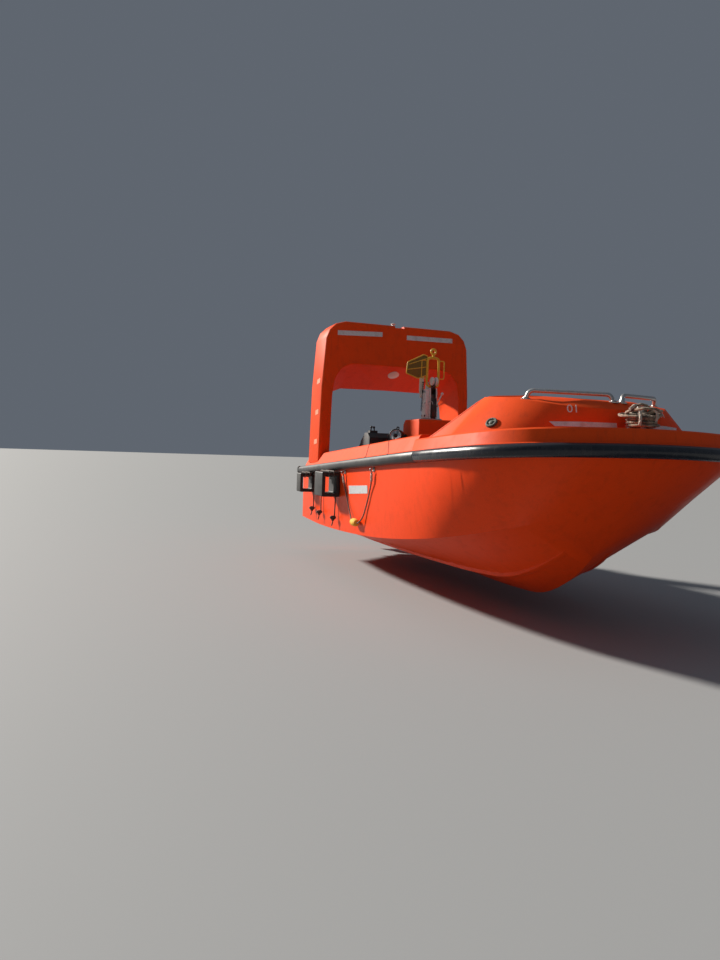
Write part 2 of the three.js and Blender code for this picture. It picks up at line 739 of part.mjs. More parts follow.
function lampHead() {
  const { x, y, z, radius, half } = LAMP;
  const profile = [
    [0, -half], [34, -half], [58, -half + 34], [60, half - 14], [radius, half - 14], [radius, half],
    [radius - 8, half], [radius - 12, half - 6], [0, half - 6],
  ].map(([r, h]) => new THREE.Vector2(r, h));
  const turn = turnedAt(x, y, z, 0, 0, -Math.PI / 2);
  const pins = bar(vec(x, y - radius - 15, z), vec(x, y + radius + 15, z), 8, 12);
  const middle = bar(vec(x, y - 30, z), vec(x, y + 30, z), 12, 12);
  return panned(join(solid(new THREE.LatheGeometry(profile, 24), turn), pins, middle));
}

// Deck fittings

function handrail(side, roof) {
  const foot = vec(1600, side * 490, 1345 + GAP);
  const front = vec(1850, side * 30, 1335 + GAP);
  const up = 52;
  const path = roundedPath(
    [
      foot.clone().sub(vec(0, 0, 12)),
      foot.clone().add(vec(18, -12 * side, up)),
      front.clone().add(vec(-14, 14 * side, up - 6)),
      front.clone().sub(vec(0, 0, 12)),
    ],
    34,
  );
  return tube(path, 14, 26).subtract(roof.translate([0, 0, GAP]));
}

// A point of the roof's slanted side, between two rows of its table, and the outward normal there.
function roofAt(row, share, up) {
  const edge = (i) => {
    const [footX, footY, edgeX, edgeY, edgeZ] = CUDDY[i];
    return [vec(footX, -footY, 1075), vec(edgeX, -edgeY, edgeZ)];
  };
  const [foot, top] = [0, 1].map((k) => edge(row)[k].lerp(edge(row + 1)[k], share));
  const along = edge(row + 1)[0].sub(edge(row)[0]).lerp(edge(row + 1)[1].sub(edge(row)[1]), up);
  return { at: foot.clone().lerp(top, up), normal: along.cross(top.sub(foot)).normalize() };
}

function ventCap(side, roof) {
  const { at, normal } = roofAt(1, 0.78, 0.4);
  const mirror = vec(1, -side, 1);
  const [seat, out] = [at.multiply(mirror), normal.multiply(mirror)];
  const lift = out.clone().multiplyScalar(GAP);
  return bar(seat.clone().addScaledVector(out, -14), seat.clone().addScaledVector(out, 14), 38, 20)
    .subtract(roof.translate([lift.x, lift.y, lift.z]))
    .decompose()
    .sort((a, b) => b.volume() - a.volume())[0];
}

function cleat(side, under) {
  const at = gunwaleAt(-2190);
  const y = side * (-at.y - 115);
  const z = at.z + 165;
  return join(
    block(-2225, -2155, y - 16, y + 16, z - 4, z + 10),
    bar(vec(-2190, y, z + 4), vec(-2190, y, z + 36), 12, 12),
    bar(vec(-2260, y, z + 42), vec(-2120, y, z + 42), 10, 12),
  ).subtract(under.translate([0, 0, GAP]));
}

function bowBitt() {
  const { x, deck, top } = BITT;
  return join(
    block(x - 45, x + 45, -60, 60, deck + GAP, deck + 10),
    bar(vec(x, 0, deck + 5), vec(x, 0, top), 24),
    bar(vec(x, -105, 1165), vec(x, 105, 1165), 13, 12),
    bar(vec(x, 0, top - 12), vec(x, 0, top), 36),
  );
}

// Lifeline eyes on the quarter: distance along the boat.
const EYES = [-650, 130];

const EYE = { plate: 18, radius: 15, wire: 4, out: 20 };

// Middle of an eye's plate on the hull.
function eyeAt(x, side) {
  const { plate } = EYE;
  const half = Math.max(-gunwaleAt(x - plate).y, -gunwaleAt(x + plate).y);
  return vec(x, side * half, gunwaleAt(x).z - FENDER_HEIGHT / 2 - 26);
}

function lifelineEye(x, side) {
  const { plate, radius, wire, out } = EYE;
  const { y, z } = eyeAt(x, side);
  const [y0, y1] = side < 0 ? [y - 5, y - GAP] : [y + GAP, y + 5];
  const upright = turnedAt(x, y + side * out, z - wire, 0, Math.PI / 2, 0);
  return join(
    block(x - plate, x + plate, y0, y1, z - plate, z + plate),
    solid(new THREE.TorusGeometry(radius, wire, 8, 16), upright),
  );
}

// Just below an eye's ring, where its rope begins.
function underEye(x, side) {
  const { radius, wire, out } = EYE;
  return eyeAt(x, side).add(vec(0, side * out, -4 - radius - wire - GAP));
}

// Outboard motor

const PIN = 14; // radius of the tilt pin and of the king pin
const PROP_SHAFT = 9;

function clampBracket() {
  const { tiltX, tiltZ } = MOTOR;
  const inside = TRANSOM_X + SKIN;
  const outline = [
    [tiltX - 22, tiltZ + 24], [tiltX - 28, tiltZ - 10], [tiltX + 5, 330], [TRANSOM_X - GAP, 320],
    [TRANSOM_X - GAP, NOTCH_Z + GAP], [inside + GAP, NOTCH_Z + GAP], [inside + GAP, 540], [inside + 16, 540],
    [inside + 16, NOTCH_Z + 30], [TRANSOM_X, tiltZ + 24],
  ];
  return join(
    plateAlongY(outline, -118, -72),
    plateAlongY(outline, 72, 118),
    bar(vec(tiltX, -128, tiltZ), vec(tiltX, 128, tiltZ), PIN),
  );
}

function swivelBracket() {
  const { tiltX, tiltZ, kingX } = MOTOR;
  const web = [
    [tiltX + 20, tiltZ + 20], [tiltX + 22, tiltZ - 20], [tiltX - 10, 380], [kingX, 350],
    [kingX, tiltZ], [tiltX - 20, tiltZ + 24],
  ];
  const body = join(
    plateAlongY(web, -34, 34),
    bar(vec(tiltX, -66, tiltZ), vec(tiltX, 66, tiltZ), 26),
    bar(vec(kingX, 0, 340), vec(kingX, 0, 660), 36, 20),
  );
  return body
    .subtract(bar(vec(tiltX, -80, tiltZ), vec(tiltX, 80, tiltZ), PIN + RUNNING))
    .subtract(bar(vec(kingX, 0, 300), vec(kingX, 0, 700), PIN + RUNNING));
}

// A leg section in plan: a rounded blade between two points along X.
function blade(x0, x1, half, z) {
  const nose = (x1 - x0) * 0.25;
  return [
    vec(x1, 0, z), vec(x1 - nose * 0.4, half * 0.6, z), vec(x1 - nose, half, z),
    vec(x0 + nose, half * 0.8, z), vec(x0, half * 0.15, z), vec(x0, -half * 0.15, z),
    vec(x0 + nose, -half * 0.8, z), vec(x1 - nose, -half, z), vec(x1 - nose * 0.4, -half * 0.6, z),
  ];
}

// Leg sections from the skeg up: x0, x1, half width, z.
const LEG = [
  [-2560, -2530, 4, -24], [-2590, -2470, 7, 36], [-2600, -2450, 24, 120], [-2610, -2440, 24, 190],
  [-2600, -2432, 44, 232], [-2590, -2428, 62, 330], [-2600, -2428, 80, 640], [-2640, -2428, 110, 706],
];

function motorLeg() {
  const { kingX, shaftZ, shaftEndX } = MOTOR;
  const gearcase = [
    [0, 0], [20, 6], [36, 30], [44, 80], [44, 170], [36, 225], [30, 236], [0, 236],
  ].map(([r, h]) => new THREE.Vector2(r, h));
  const plate = [
    [-2720, -70], [-2690, -100], [-2520, -104], [-2440, -60], [-2425, 0],
    [-2440, 60], [-2520, 104], [-2690, 100], [-2720, 70],
  ];
  const plateRing = (z) => plate.map(([x, y]) => vec(x, y, z));
  return join(
    loft(LEG.map(([x0, x1, half, z]) => blade(x0, x1, half, z)), acrossZ),
    loft([plateRing(196), plateRing(208)], acrossZ),
    solid(new THREE.LatheGeometry(gearcase, 20), turnedAt(-2412, 0, shaftZ, 0, 0, Math.PI / 2)),
    bar(vec(-2600, 0, shaftZ), vec(shaftEndX, 0, shaftZ), PROP_SHAFT),
    bar(vec(kingX, 0, 322), vec(kingX, 0, 690), PIN),
    block(-2460, kingX, -30, 30, 300, 333),
    bar(vec(kingX, 0, 300), vec(kingX, 0, 333), 30),
    block(-2460, kingX, -34, 34, 667, 700),
    bar(vec(kingX, 0, 667), vec(kingX, 0, 700), 34),
  );
}

// Cowl rings from below: x0, x1, half width, corner, z.
const COWL = [
  [-2700, -2350, 130, 60, 706], [-2745, -2335, 160, 70, 734], [-2765, -2330, 178, 75, 778],
  [-2765, -2332, 180, 80, 850], [-2752, -2345, 172, 85, 945], [-2725, -2375, 150, 85, 998],
  [-2680, -2430, 110, 75, 1020],
];

function cowl() {
  const ring = ([x0, x1, half, corner, z]) => {
    const points = [];
    const corners = [
      [x1 - corner, half - corner, 0], [x0 + corner, half - corner, 90],
      [x0 + corner, corner - half, 180], [x1 - corner, corner - half, 270],
    ];
    for (const [cx, cy, start] of corners) {
      for (let i = 0; i <= 3; i++) {
        const a = THREE.MathUtils.degToRad(start + i * 30);
        points.push(vec(cx + corner * Math.cos(a), cy + corner * Math.sin(a), z));
      }
    }
    return points;
  };
  return loft(COWL.map(([x0, x1, half, corner, z]) => ring([x0, x1, half, corner, z + GAP])), acrossZ);
}

function propeller() {
  const { shaftZ, propRadius } = MOTOR;
  const [x0, x1] = [-2722, -2652];
  const hub = bar(vec(x0, 0, shaftZ), vec(x1, 0, shaftZ), 30, 20);
  const blades = [0, 1, 2].map((i) => {
    const outline = new THREE.Shape().absellipse(0, 0, 52, 40, 0, 2 * Math.PI);
    const flat = new THREE.ExtrudeGeometry(outline, { depth: 7, bevelEnabled: false, curveSegments: 10 });
    flat.translate(0, 0, -3.5).rotateZ(Math.PI / 2).rotateX(Math.PI / 2);
    flat.rotateZ(THREE.MathUtils.degToRad(62)).translate(0, 0, propRadius - 53);
    return solid(flat, turnedAt((x0 + x1) / 2, 0, shaftZ, (2 * Math.PI * i) / 3, 0, 0));
  });
  const bore = bar(vec(x0 - 10, 0, shaftZ), vec(x1 + 10, 0, shaftZ), PROP_SHAFT + RUNNING);
  return join(hub, ...blades).subtract(bore);
}

// Ropes and hung fenders on the quarter

// Hung fenders: hollow rubber blocks with their bore fore and aft.
const HUNG = [
  { back: -1885, front: -1735, width: 155, top: 734, height: 194 },
  { back: -1060, front: -810, width: 170, top: 782, height: 226 },
];
const HUNG_CORNER = 12;

function roundedRect(x0, x1, y0, y1, corner) {
  const shape = new THREE.Shape();
  shape.moveTo(x0 + corner, y0).lineTo(x1 - corner, y0).quadraticCurveTo(x1, y0, x1, y0 + corner);
  shape.lineTo(x1, y1 - corner).quadraticCurveTo(x1, y1, x1 - corner, y1);
  shape.lineTo(x0 + corner, y1).quadraticCurveTo(x0, y1, x0, y1 - corner);
  shape.lineTo(x0, y0 + corner).quadraticCurveTo(x0, y0, x0 + corner, y0);
  return shape;
}

function hungFender({ back, front, width, top, height }) {
  const inner = Math.min(gunwaleAt(back).y, gunwaleAt(front).y) - GAP;
  const wall = width * 0.19;
  const outline = roundedRect(inner - width, inner, top - height, top, HUNG_CORNER);
  const bore = roundedRect(
    inner - width + wall, inner - wall, top - height + wall, top - wall, HUNG_CORNER);
  outline.holes.push(bore);
  const settings = { depth: front - back, bevelEnabled: false, curveSegments: 3 };
  const upright = new THREE.Matrix4().set(0, 0, 1, back, 1, 0, 0, 0, 0, 1, 0, 0, 0, 0, 0, 1);
  return solid(new THREE.ExtrudeGeometry(outline, settings), upright);
}

const ROPE = 6; // radius of the lifelines
const TAIL = 6; // radius of the hung fenders' ropes

// Each rope tail: where along the boat it hangs, from which height, and where its end is.
const underFender = (x) => gunwaleAt(x).z - FENDER_HEIGHT / 2 - 3 * GAP;
const TAILS = [
  { x: -1700, from: underFender(-1700), bottom: 372 },
  { x: -1400, from: underFender(-1400), bottom: 358 },
  { x: -900, from: HUNG[1].top - HUNG[1].height - GAP, bottom: 352 },
];

function ropeTail({ x, from, bottom }) {
  const y = gunwaleAt(x).y - TAIL - 8;
  const sway = (from - bottom) / 3;
  const points = [
    vec(x, y, from), vec(x + 2, y, from - sway), vec(x - 4, y - 1, bottom + sway), vec(x - 2, y, bottom),
  ];
  return tube(new THREE.CatmullRomCurve3(points), TAIL, 18, 8);
}

// A lifeline hangs in a bight between the two eyes of each side, with a float at its lowest point.
// Its route, aft half and fore half: x, clear of the topside by, z.
const BIGHT = {
  aft: [
    [-636, 12, 706], [-592, 6, 610], [-525, 6, 505], [-445, 14, 425], [-370, 30, 380], [-347.6, 30, 378],
  ],
  fore: [
    [-224.4, 30, 378], [-204, 30, 380], [-132, 14, 432], [-60, 6, 528], [28, 6, 645], [104, 12, 744],
  ],
};
const FLOAT = { x0: -347, x1: -225, z: 378, radius: 32, clear: 30 };

function lifeline(side, half) {
  const points = BIGHT[half].map(([x, clear, z]) => vec(x, side * (topsideAt(x, z) + clear + ROPE), z));
  if (half === "aft") points.unshift(underEye(EYES[0], side));
  else points.push(underEye(EYES[1], side));
  return tube(new THREE.CatmullRomCurve3(points), ROPE, 20, 8);
}

function lineFloat(side) {
  const { x0, x1, z, radius, clear } = FLOAT;
  const y = side * (topsideAt((x0 + x1) / 2, z) + clear + ROPE);
  const length = x1 - x0;
  const profile = [
    [0, 0], [14, 0], [26, 10], [radius, 28],
    [radius, length - 28], [26, length - 10], [14, length], [0, length],
  ].map(([r, h]) => new THREE.Vector2(r, h));
  return solid(new THREE.LatheGeometry(profile, 16), turnedAt(x0, y, z, 0, 0, -Math.PI / 2));
}

function bittTurns() {
  const profile = [
    [24.7, 1178.4], [80, 1178.4], [102, 1204], [100, 1242], [74, 1272], [24.7, 1286],
  ].map(([r, h]) => new THREE.Vector2(r, h));
  profile.push(profile[0].clone());
  return solid(new THREE.LatheGeometry(profile, 20), turnedAt(BITT.x, 0, 0, Math.PI / 2, 0, 0));
}

// The boat

const boat = new THREE.Group();
boat.position.z = -DRAFT;

function add(name, body, finish) {
  const mesh = new THREE.Mesh(geometryOf(body), new THREE.MeshStandardMaterial(COLOUR[finish]));
  mesh.name = name;
  boat.add(mesh);
}

const SIDES = [["starboard", -1], ["port", 1]];

add("hull", hull(), "orange");
add("cockpit_liner", cockpitLiner(), "orange");
add("motor_well", motorWell(), "orange");
add("cuddy_floor", cuddyFloor(), "orange");
const roof = cuddy();
add("cuddy", roof, "orange");
const coamings = { starboard: coaming(-1), port: coaming(1) };
for (const [name, side] of SIDES) {
  add(`coaming_${name}`, coamings[name], "orange");
  add(`fender_stern_${name}`, sternFender(side), "rubber");
  add(`bench_${name}`, bench(side), "orange");
  add(`handrail_${name}`, handrail(side, roof), "steel");
  add(`vent_cap_${name}`, ventCap(side, roof), "grey");
  add(`stern_cleat_${name}`, cleat(side, coamings[name]), "steel");
  EYES.forEach((x, i) => add(`lifeline_eye_${name}_${i + 1}`, lifelineEye(x, side), "steel"));
  for (const half of ["aft", "fore"]) add(`lifeline_${name}_${half}`, lifeline(side, half), "rope");
  add(`line_float_${name}`, lineFloat(side), "yellow");
}
add("fender_starboard", alongGunwale(D_SECTION, FENDER_GAP, FENDER_SPLIT), "rubber");
add(
  "fender_bow",
  alongGunwale(D_SECTION, FENDER_SPLIT + FENDER_GAP, 2 * LAST - FENDER_SPLIT - FENDER_GAP),
  "rubber",
);
add("fender_port", alongGunwale(D_SECTION, 2 * LAST - FENDER_SPLIT, 2 * LAST - FENDER_GAP), "rubber");
add("arch", arch(coamings.port, coamings.starboard), "orange");
add("arch_light", archLight(), "white");
add("hook_pedestal", pedestal(), "orange");
add("hook_post", hookPost(), "black");
add("release_jaw", releaseJaw(), "steel");
add("release_lever", releaseLever(), "steel");
add("lifting_ring", liftingRing(), "yellow");
add("helm_console", helmConsole(), "black");
add("steering_wheel", steeringWheel(), "black");
add("helm_seat", helmSeat(), "orange");
add("searchlight_bracket", lampBracket(), "black");
add("searchlight_yoke", lampYoke(), "black");
add("searchlight_head", lampHead(), "black");
add("bow_bitt", bowBitt(), "steel");
add("bitt_turns", bittTurns(), "rope");
add("motor_clamp", clampBracket(), "black");
add("motor_swivel", swivelBracket(), "black");
add("motor_leg", motorLeg(), "black");
add("motor_cowl", cowl(), "black");
add("propeller", propeller(), "black");
HUNG.forEach((spec, i) => add(`hung_fender_${i + 1}`, hungFender(spec), "rubber"));
TAILS.forEach((spec, i) => add(`rope_tail_${i + 1}`, ropeTail(spec), "rope"));

export default boat;
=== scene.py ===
import math

import bpy
from mathutils import Matrix, Vector, noise
from mathutils.bvhtree import BVHTree


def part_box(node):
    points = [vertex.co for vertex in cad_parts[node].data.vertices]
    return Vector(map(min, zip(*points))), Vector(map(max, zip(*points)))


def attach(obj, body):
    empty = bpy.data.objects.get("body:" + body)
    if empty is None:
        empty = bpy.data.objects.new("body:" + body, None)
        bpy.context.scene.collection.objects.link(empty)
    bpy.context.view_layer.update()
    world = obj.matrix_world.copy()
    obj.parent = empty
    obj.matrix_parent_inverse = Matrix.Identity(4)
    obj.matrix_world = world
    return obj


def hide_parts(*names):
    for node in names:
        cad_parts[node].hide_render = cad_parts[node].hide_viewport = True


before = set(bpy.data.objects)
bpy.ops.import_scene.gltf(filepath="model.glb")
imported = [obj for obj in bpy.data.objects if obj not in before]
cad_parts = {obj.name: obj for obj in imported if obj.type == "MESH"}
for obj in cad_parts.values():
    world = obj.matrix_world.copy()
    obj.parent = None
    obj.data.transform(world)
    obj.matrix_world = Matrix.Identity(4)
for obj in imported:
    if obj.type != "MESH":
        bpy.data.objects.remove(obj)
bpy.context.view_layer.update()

# Each side, and the sign that carries a starboard place over to it
SIDES = (("starboard", 1), ("port", -1))

# Camera at the photograph's angle

CAMERA_AT = Vector((5.492, -2.918, 0.695))
CAMERA_AHEAD = Vector((-0.94299, 0.33019, -0.04187))
CAMERA_UP = Vector((-0.05079, -0.01841, 0.99854))
CAMERA_LENS = 27.04


def make_camera():
    right = CAMERA_AHEAD.cross(CAMERA_UP)
    data = bpy.data.cameras.new("quay_camera")
    data.lens = CAMERA_LENS
    data.sensor_width = 36.0
    data.clip_start = 0.05
    camera = bpy.data.objects.new("quay_camera", data)
    bpy.context.scene.collection.objects.link(camera)
    turn = Matrix((right, CAMERA_UP, -CAMERA_AHEAD)).transposed().to_4x4()
    camera.matrix_world = Matrix.Translation(CAMERA_AT) @ turn
    bpy.context.scene.camera = camera


# Modelling steps

MERGE_CAD = 0.00005
MERGE_NEW = 0.00002
FLAT_ANGLE = math.radians(0.6)
EDGE_ANGLE = math.radians(30)


def deselect():
    bpy.ops.object.select_all(action="DESELECT")


def make_active(piece):
    deselect()
    piece.select_set(True)
    bpy.context.view_layer.objects.active = piece


def take(name):
    """Names the piece that an operator has just made."""
    piece = bpy.context.active_object
    piece.name = name
    piece.data.name = name
    return piece


def settle(piece):
    """Moves a piece's place, turn and scale into its mesh."""
    make_active(piece)
    bpy.ops.object.transform_apply(location=True, rotation=True, scale=True)
    return piece


def block(name, low, high):
    low, high = Vector(low), Vector(high)
    deselect()
    bpy.ops.mesh.primitive_cube_add(size=1, location=(low + high) / 2, scale=high - low)
    return settle(take(name))


def facing(direction):
    """The turn that points an upright primitive along a direction."""
    return Vector(direction).to_track_quat("Z", "Y").to_euler()


def rod(name, start, end, radius, sides, end_radius=None):
    start, end = Vector(start), Vector(end)
    deselect()
    bpy.ops.mesh.primitive_cone_add(
        vertices=sides,
        radius1=radius,
        radius2=radius if end_radius is None else end_radius,
        depth=(end - start).length,
        location=(start + end) / 2,
        rotation=facing(end - start),
    )
    return settle(take(name))


def ball(name, at, radius):
    deselect()
    bpy.ops.mesh.primitive_uv_sphere_add(segments=20, ring_count=12, radius=radius, location=at)
    return settle(take(name))


def hoop(name, at, axis, major, minor, sides):
    deselect()
    bpy.ops.mesh.primitive_torus_add(
        location=at,
        rotation=facing(axis),
        major_radius=major,
        minor_radius=minor,
        major_segments=sides,
        minor_segments=12,
    )
    return settle(take(name))


def pipe(name, points, radius, sides, closed):
    """A round bar along straight runs."""
    data = bpy.data.curves.new(name, "CURVE")
    data.dimensions = "3D"
    data.bevel_depth = radius
    data.bevel_resolution = sides
    data.use_fill_caps = True
    line = data.splines.new("POLY")
    line.points.add(len(points) - 1)
    for knot, point in zip(line.points, points):
        knot.co = (*point, 1)
    line.use_cyclic_u = closed
    piece = bpy.data.objects.new(name, data)
    bpy.context.scene.collection.objects.link(piece)
    make_active(piece)
    bpy.ops.object.convert(target="MESH")
    return take(name)


def rounded(points, radius, steps):
    """The corners of a path cut back by a radius and rounded."""
    points = [Vector(p) for p in points]
    made = [points[0]]
    for before, corner, after in zip(points, points[1:], points[2:]):
        back, on = (before - corner), (after - corner)
        cut = min(radius, back.length * 0.5, on.length * 0.5)
        a, b = corner + back.normalized() * cut, corner + on.normalized() * cut
        for i in range(steps + 1):
            t = i / steps
            made.append(a * (1 - t) ** 2 + corner * 2 * t * (1 - t) + b * t**2)
    return made + [points[-1]]


def ringed(points, radius, steps):
    """The same for a closed path, which starts and ends at its first point."""
    return rounded([*points, points[0]], radius, steps)[:-1]


def slab(name, outline, back, front):
    """A flat plate across the boat: an outline in y and z, from one station to the next."""
    mesh = bpy.data.meshes.new(name)
    piece = bpy.data.objects.new(name, mesh)
    bpy.context.scene.collection.objects.link(piece)
    mesh.from_pydata([(back, y, z) for y, z in outline], [], [list(range(len(outline)))])
    make_active(piece)
    bpy.ops.object.mode_set(mode="EDIT")
    bpy.ops.mesh.select_all(action="SELECT")
    step = Vector((front, 0, 0)) - Vector((back, 0, 0))
    bpy.ops.mesh.extrude_region_move(TRANSFORM_OT_translate={"value": step})
    bpy.ops.mesh.select_all(action="SELECT")
    bpy.ops.mesh.normals_make_consistent(inside=False)
    bpy.ops.object.mode_set(mode="OBJECT")
    return piece


def shape(piece, pick, *steps):
    """Picks faces by a test of their centre and normal, and runs edit mode steps on them."""
    make_active(piece)
    mesh = piece.data
    for items in (mesh.vertices, mesh.edges, mesh.polygons):
        for item in items:
            item.select = False
    for face in mesh.polygons:
        face.select = bool(pick(face.center, face.normal))
    bpy.context.tool_settings.mesh_select_mode = (False, False, True)
    bpy.ops.object.mode_set(mode="EDIT")
    for step in steps:
        step()
    bpy.ops.object.mode_set(mode="OBJECT")
    return piece


def inset(thickness, depth=0.0):
    return lambda: bpy.ops.mesh.inset(thickness=thickness, depth=depth)


def grow(value, **about):
    return lambda: bpy.ops.transform.resize(value=value, **about)


def soften(piece, width, segments=2):
    """Rounds a piece's sharper edges."""
    edges = piece.modifiers.new("soft_edges", "BEVEL")
    edges.width = width
    edges.segments = segments
    edges.limit_method = "ANGLE"
    edges.angle_limit = EDGE_ANGLE
    make_active(piece)
    bpy.ops.object.modifier_apply(modifier="soft_edges")
    return piece


def joined(name, *pieces):
    deselect()
    for piece in pieces:
        piece.select_set(True)
    bpy.context.view_layer.objects.active = pieces[0]
    bpy.ops.object.join()
    return take(name)


def copy_of(node, name, width, segments=2):
    """A merged copy of a CAD node, its flat areas cleaned and its edges softened."""
    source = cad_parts[node]
    piece = bpy.data.objects.new(name, source.data.copy())
    bpy.context.scene.collection.objects.link(piece)
    piece.data.materials.clear()
    make_active(piece)
    bpy.ops.object.mode_set(mode="EDIT")
    bpy.ops.mesh.select_all(action="SELECT")
    bpy.ops.mesh.remove_doubles(threshold=MERGE_CAD)
    bpy.ops.mesh.dissolve_limited(angle_limit=FLAT_ANGLE)
    bpy.ops.object.mode_set(mode="OBJECT")
    return soften(piece, width, segments)


def dress(piece, finish, body="boat", smooth=35, replaces=None):
    """Gives a piece its finish, its shading and the body that it moves with."""
    piece.data.materials.clear()
    piece.data.materials.append(FINISH[finish])
    make_active(piece)
    if smooth:
        bpy.ops.object.shade_smooth_by_angle(angle=math.radians(smooth))
    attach(piece, body)
    if replaces:
        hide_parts(replaces)
    return piece


# Shader node groups and finishes


def fill(node, **values):
    """Sets a node's inputs; an underscore stands for the space in an input's name."""
    for label, value in values.items():
        node.inputs[label.replace("_", " ")].default_value = value


class Wiring:
    """Adds shader nodes to a tree and joins them."""

    def __init__(self, tree):
        self.tree = tree

    def node(self, kind, **values):
        made = self.tree.nodes.new(kind)
        for key, value in values.items():
            setattr(made, key, value)
        return made

    def join(self, source, target):
        self.tree.links.new(source, target)

    def place(self):
        return self.node("ShaderNodeTexCoord").outputs["Object"]

    def normal(self):
        return self.node("ShaderNodeNewGeometry").outputs["Normal"]

    def facing_up(self, low, high):
        """0 to 1 as the height of the surface's normal goes from low to high."""
        parts = self.node("ShaderNodeSeparateXYZ")
        self.join(self.normal(), parts.inputs["Vector"])
        return self.band(parts.outputs["Z"], low, high)

    def noise(self, vector, scale, detail=3.0, roughness=0.55):
        made = self.node("ShaderNodeTexNoise")
        fill(made, Scale=scale, Detail=detail, Roughness=roughness)
        self.join(vector, made.inputs["Vector"])
        return made.outputs["Fac"]

    def stretch(self, vector, scale):
        made = self.node("ShaderNodeVectorMath", operation="MULTIPLY")
        made.inputs[1].default_value = scale
        self.join(vector, made.inputs[0])
        return made.outputs["Vector"]

    def band(self, value, low, high, out_low=0.0, out_high=1.0):
        made = self.node("ShaderNodeMapRange")
        fill(made, From_Min=low, From_Max=high, To_Min=out_low, To_Max=out_high)
        self.join(value, made.inputs["Value"])
        return made.outputs["Result"]

    def reckon(self, operation, a, b):
        """A sum of two values, each a wire or a number."""
        made = self.node("ShaderNodeMath", operation=operation)
        for socket, value in zip(made.inputs, (a, b)):
            if isinstance(value, (int, float)):
                socket.default_value = value
            else:
                self.join(value, socket)
        return made.outputs["Value"]

    def times(self, a, b):
        return self.reckon("MULTIPLY", a, b)

    def plus(self, a, b):
        return self.reckon("ADD", a, b)

    def at_most(self, a, b):
        return self.reckon("MINIMUM", a, b)

    def mix(self, share, a, b):
        """Two colours, each a wire or three numbers, mixed by a share of the second."""
        made = self.node("ShaderNodeMix", data_type="RGBA")
        self.join(share, made.inputs[0])
        for socket, colour in ((made.inputs[6], a), (made.inputs[7], b)):
            if isinstance(colour, tuple):
                socket.default_value = (*colour, 1.0)
            else:
                self.join(colour, socket)
        return made.outputs[2]


def new_group(name, inputs, outputs):
    tree = bpy.data.node_groups.new(name, "ShaderNodeTree")
    for label, kind, value in inputs:
        socket = tree.interface.new_socket(label, in_out="INPUT", socket_type="NodeSocket" + kind)
        socket.default_value = (*value, 1.0) if kind == "Color" else value
    for label, kind in outputs:
        tree.interface.new_socket(label, in_out="OUTPUT", socket_type="NodeSocket" + kind)
    wiring = Wiring(tree)
    return wiring, wiring.node("NodeGroupInput").outputs, wiring.node("NodeGroupOutput").inputs


def weathering_group():
    """Sun fading, run-off streaks and fine speckle over a paint or moulding colour."""
    w, given, out = new_group(
        "salt_weathering",
        [
            ("Colour", "Color", (0.8, 0.2, 0.05)),
            ("Faded", "Color", (0.8, 0.4, 0.3)),
            ("Grime", "Color", (0.1, 0.06, 0.04)),
            ("Fading", "Float", 0.5),
            ("Dirt", "Float", 0.3),
            ("Gloss", "Float", 0.3),
            ("Scale", "Float", 1.0),
        ],
        [("Colour", "Color"), ("Roughness", "Float"), ("Height", "Float")],
    )
    scaled = w.node("ShaderNodeVectorMath", operation="SCALE")
    w.join(w.place(), scaled.inputs[0])
    w.join(given["Scale"], scaled.inputs["Scale"])
    place = scaled.outputs["Vector"]
    broad = w.band(w.noise(place, 1.7, 5, 0.6), 0.42, 0.68)
    patches = w.band(w.noise(place, 11, 4, 0.6), 0.5, 0.72)
    streaks = w.band(w.noise(w.stretch(place, (26, 26, 1.6)), 1.0, 4, 0.6), 0.55, 0.8)
    speckle = w.noise(place, 260, 2, 0.5)
    fading = w.times(w.plus(w.times(broad, 0.6), w.facing_up(0.1, 0.95)), given["Fading"])
    faded = w.mix(w.at_most(fading, 1.0), given["Colour"], given["Faded"])
    dirt = w.times(w.plus(w.times(streaks, 0.7), w.times(patches, 0.5)), given["Dirt"])
    soiled = w.mix(w.at_most(dirt, 0.9), faded, given["Grime"])
    shade = w.band(speckle, 0.3, 0.7, 0.93, 1.05)
    toned = w.node("ShaderNodeVectorMath", operation="SCALE")
    w.join(soiled, toned.inputs[0])
    w.join(shade, toned.inputs["Scale"])
    w.join(toned.outputs["Vector"], out["Colour"])
    rough = w.plus(w.plus(given["Gloss"], w.times(fading, 0.22)), w.times(dirt, 0.3))
    w.join(w.at_most(rough, 0.95), out["Roughness"])
    w.join(w.plus(w.times(speckle, 0.15), w.times(patches, 0.35)), out["Height"])
    return w.tree


def wear_group():
    """How much an edge is rubbed bare: the rounded normal against the true one, broken by noise."""
    w, given, out = new_group(
        "rubbed_edges", [("Width", "Float", 0.004), ("Breakup", "Float", 60.0)], [("Mask", "Float")]
    )
    rounding = w.node("ShaderNodeBevel", samples=4)
    w.join(given["Width"], rounding.inputs["Radius"])
    turn = w.node("ShaderNodeVectorMath", operation="DOT_PRODUCT")
    w.join(rounding.outputs["Normal"], turn.inputs[0])
    w.join(w.normal(), turn.inputs[1])
    edge = w.band(turn.outputs["Value"], 0.998, 0.93)
    grain = w.node("ShaderNodeTexNoise")
    fill(grain, Detail=4)
    w.join(w.place(), grain.inputs["Vector"])
    w.join(given["Breakup"], grain.inputs["Scale"])
    broken = w.band(grain.outputs["Fac"], 0.42, 0.6)
    w.join(w.times(edge, broken), out["Mask"])
    return w.tree


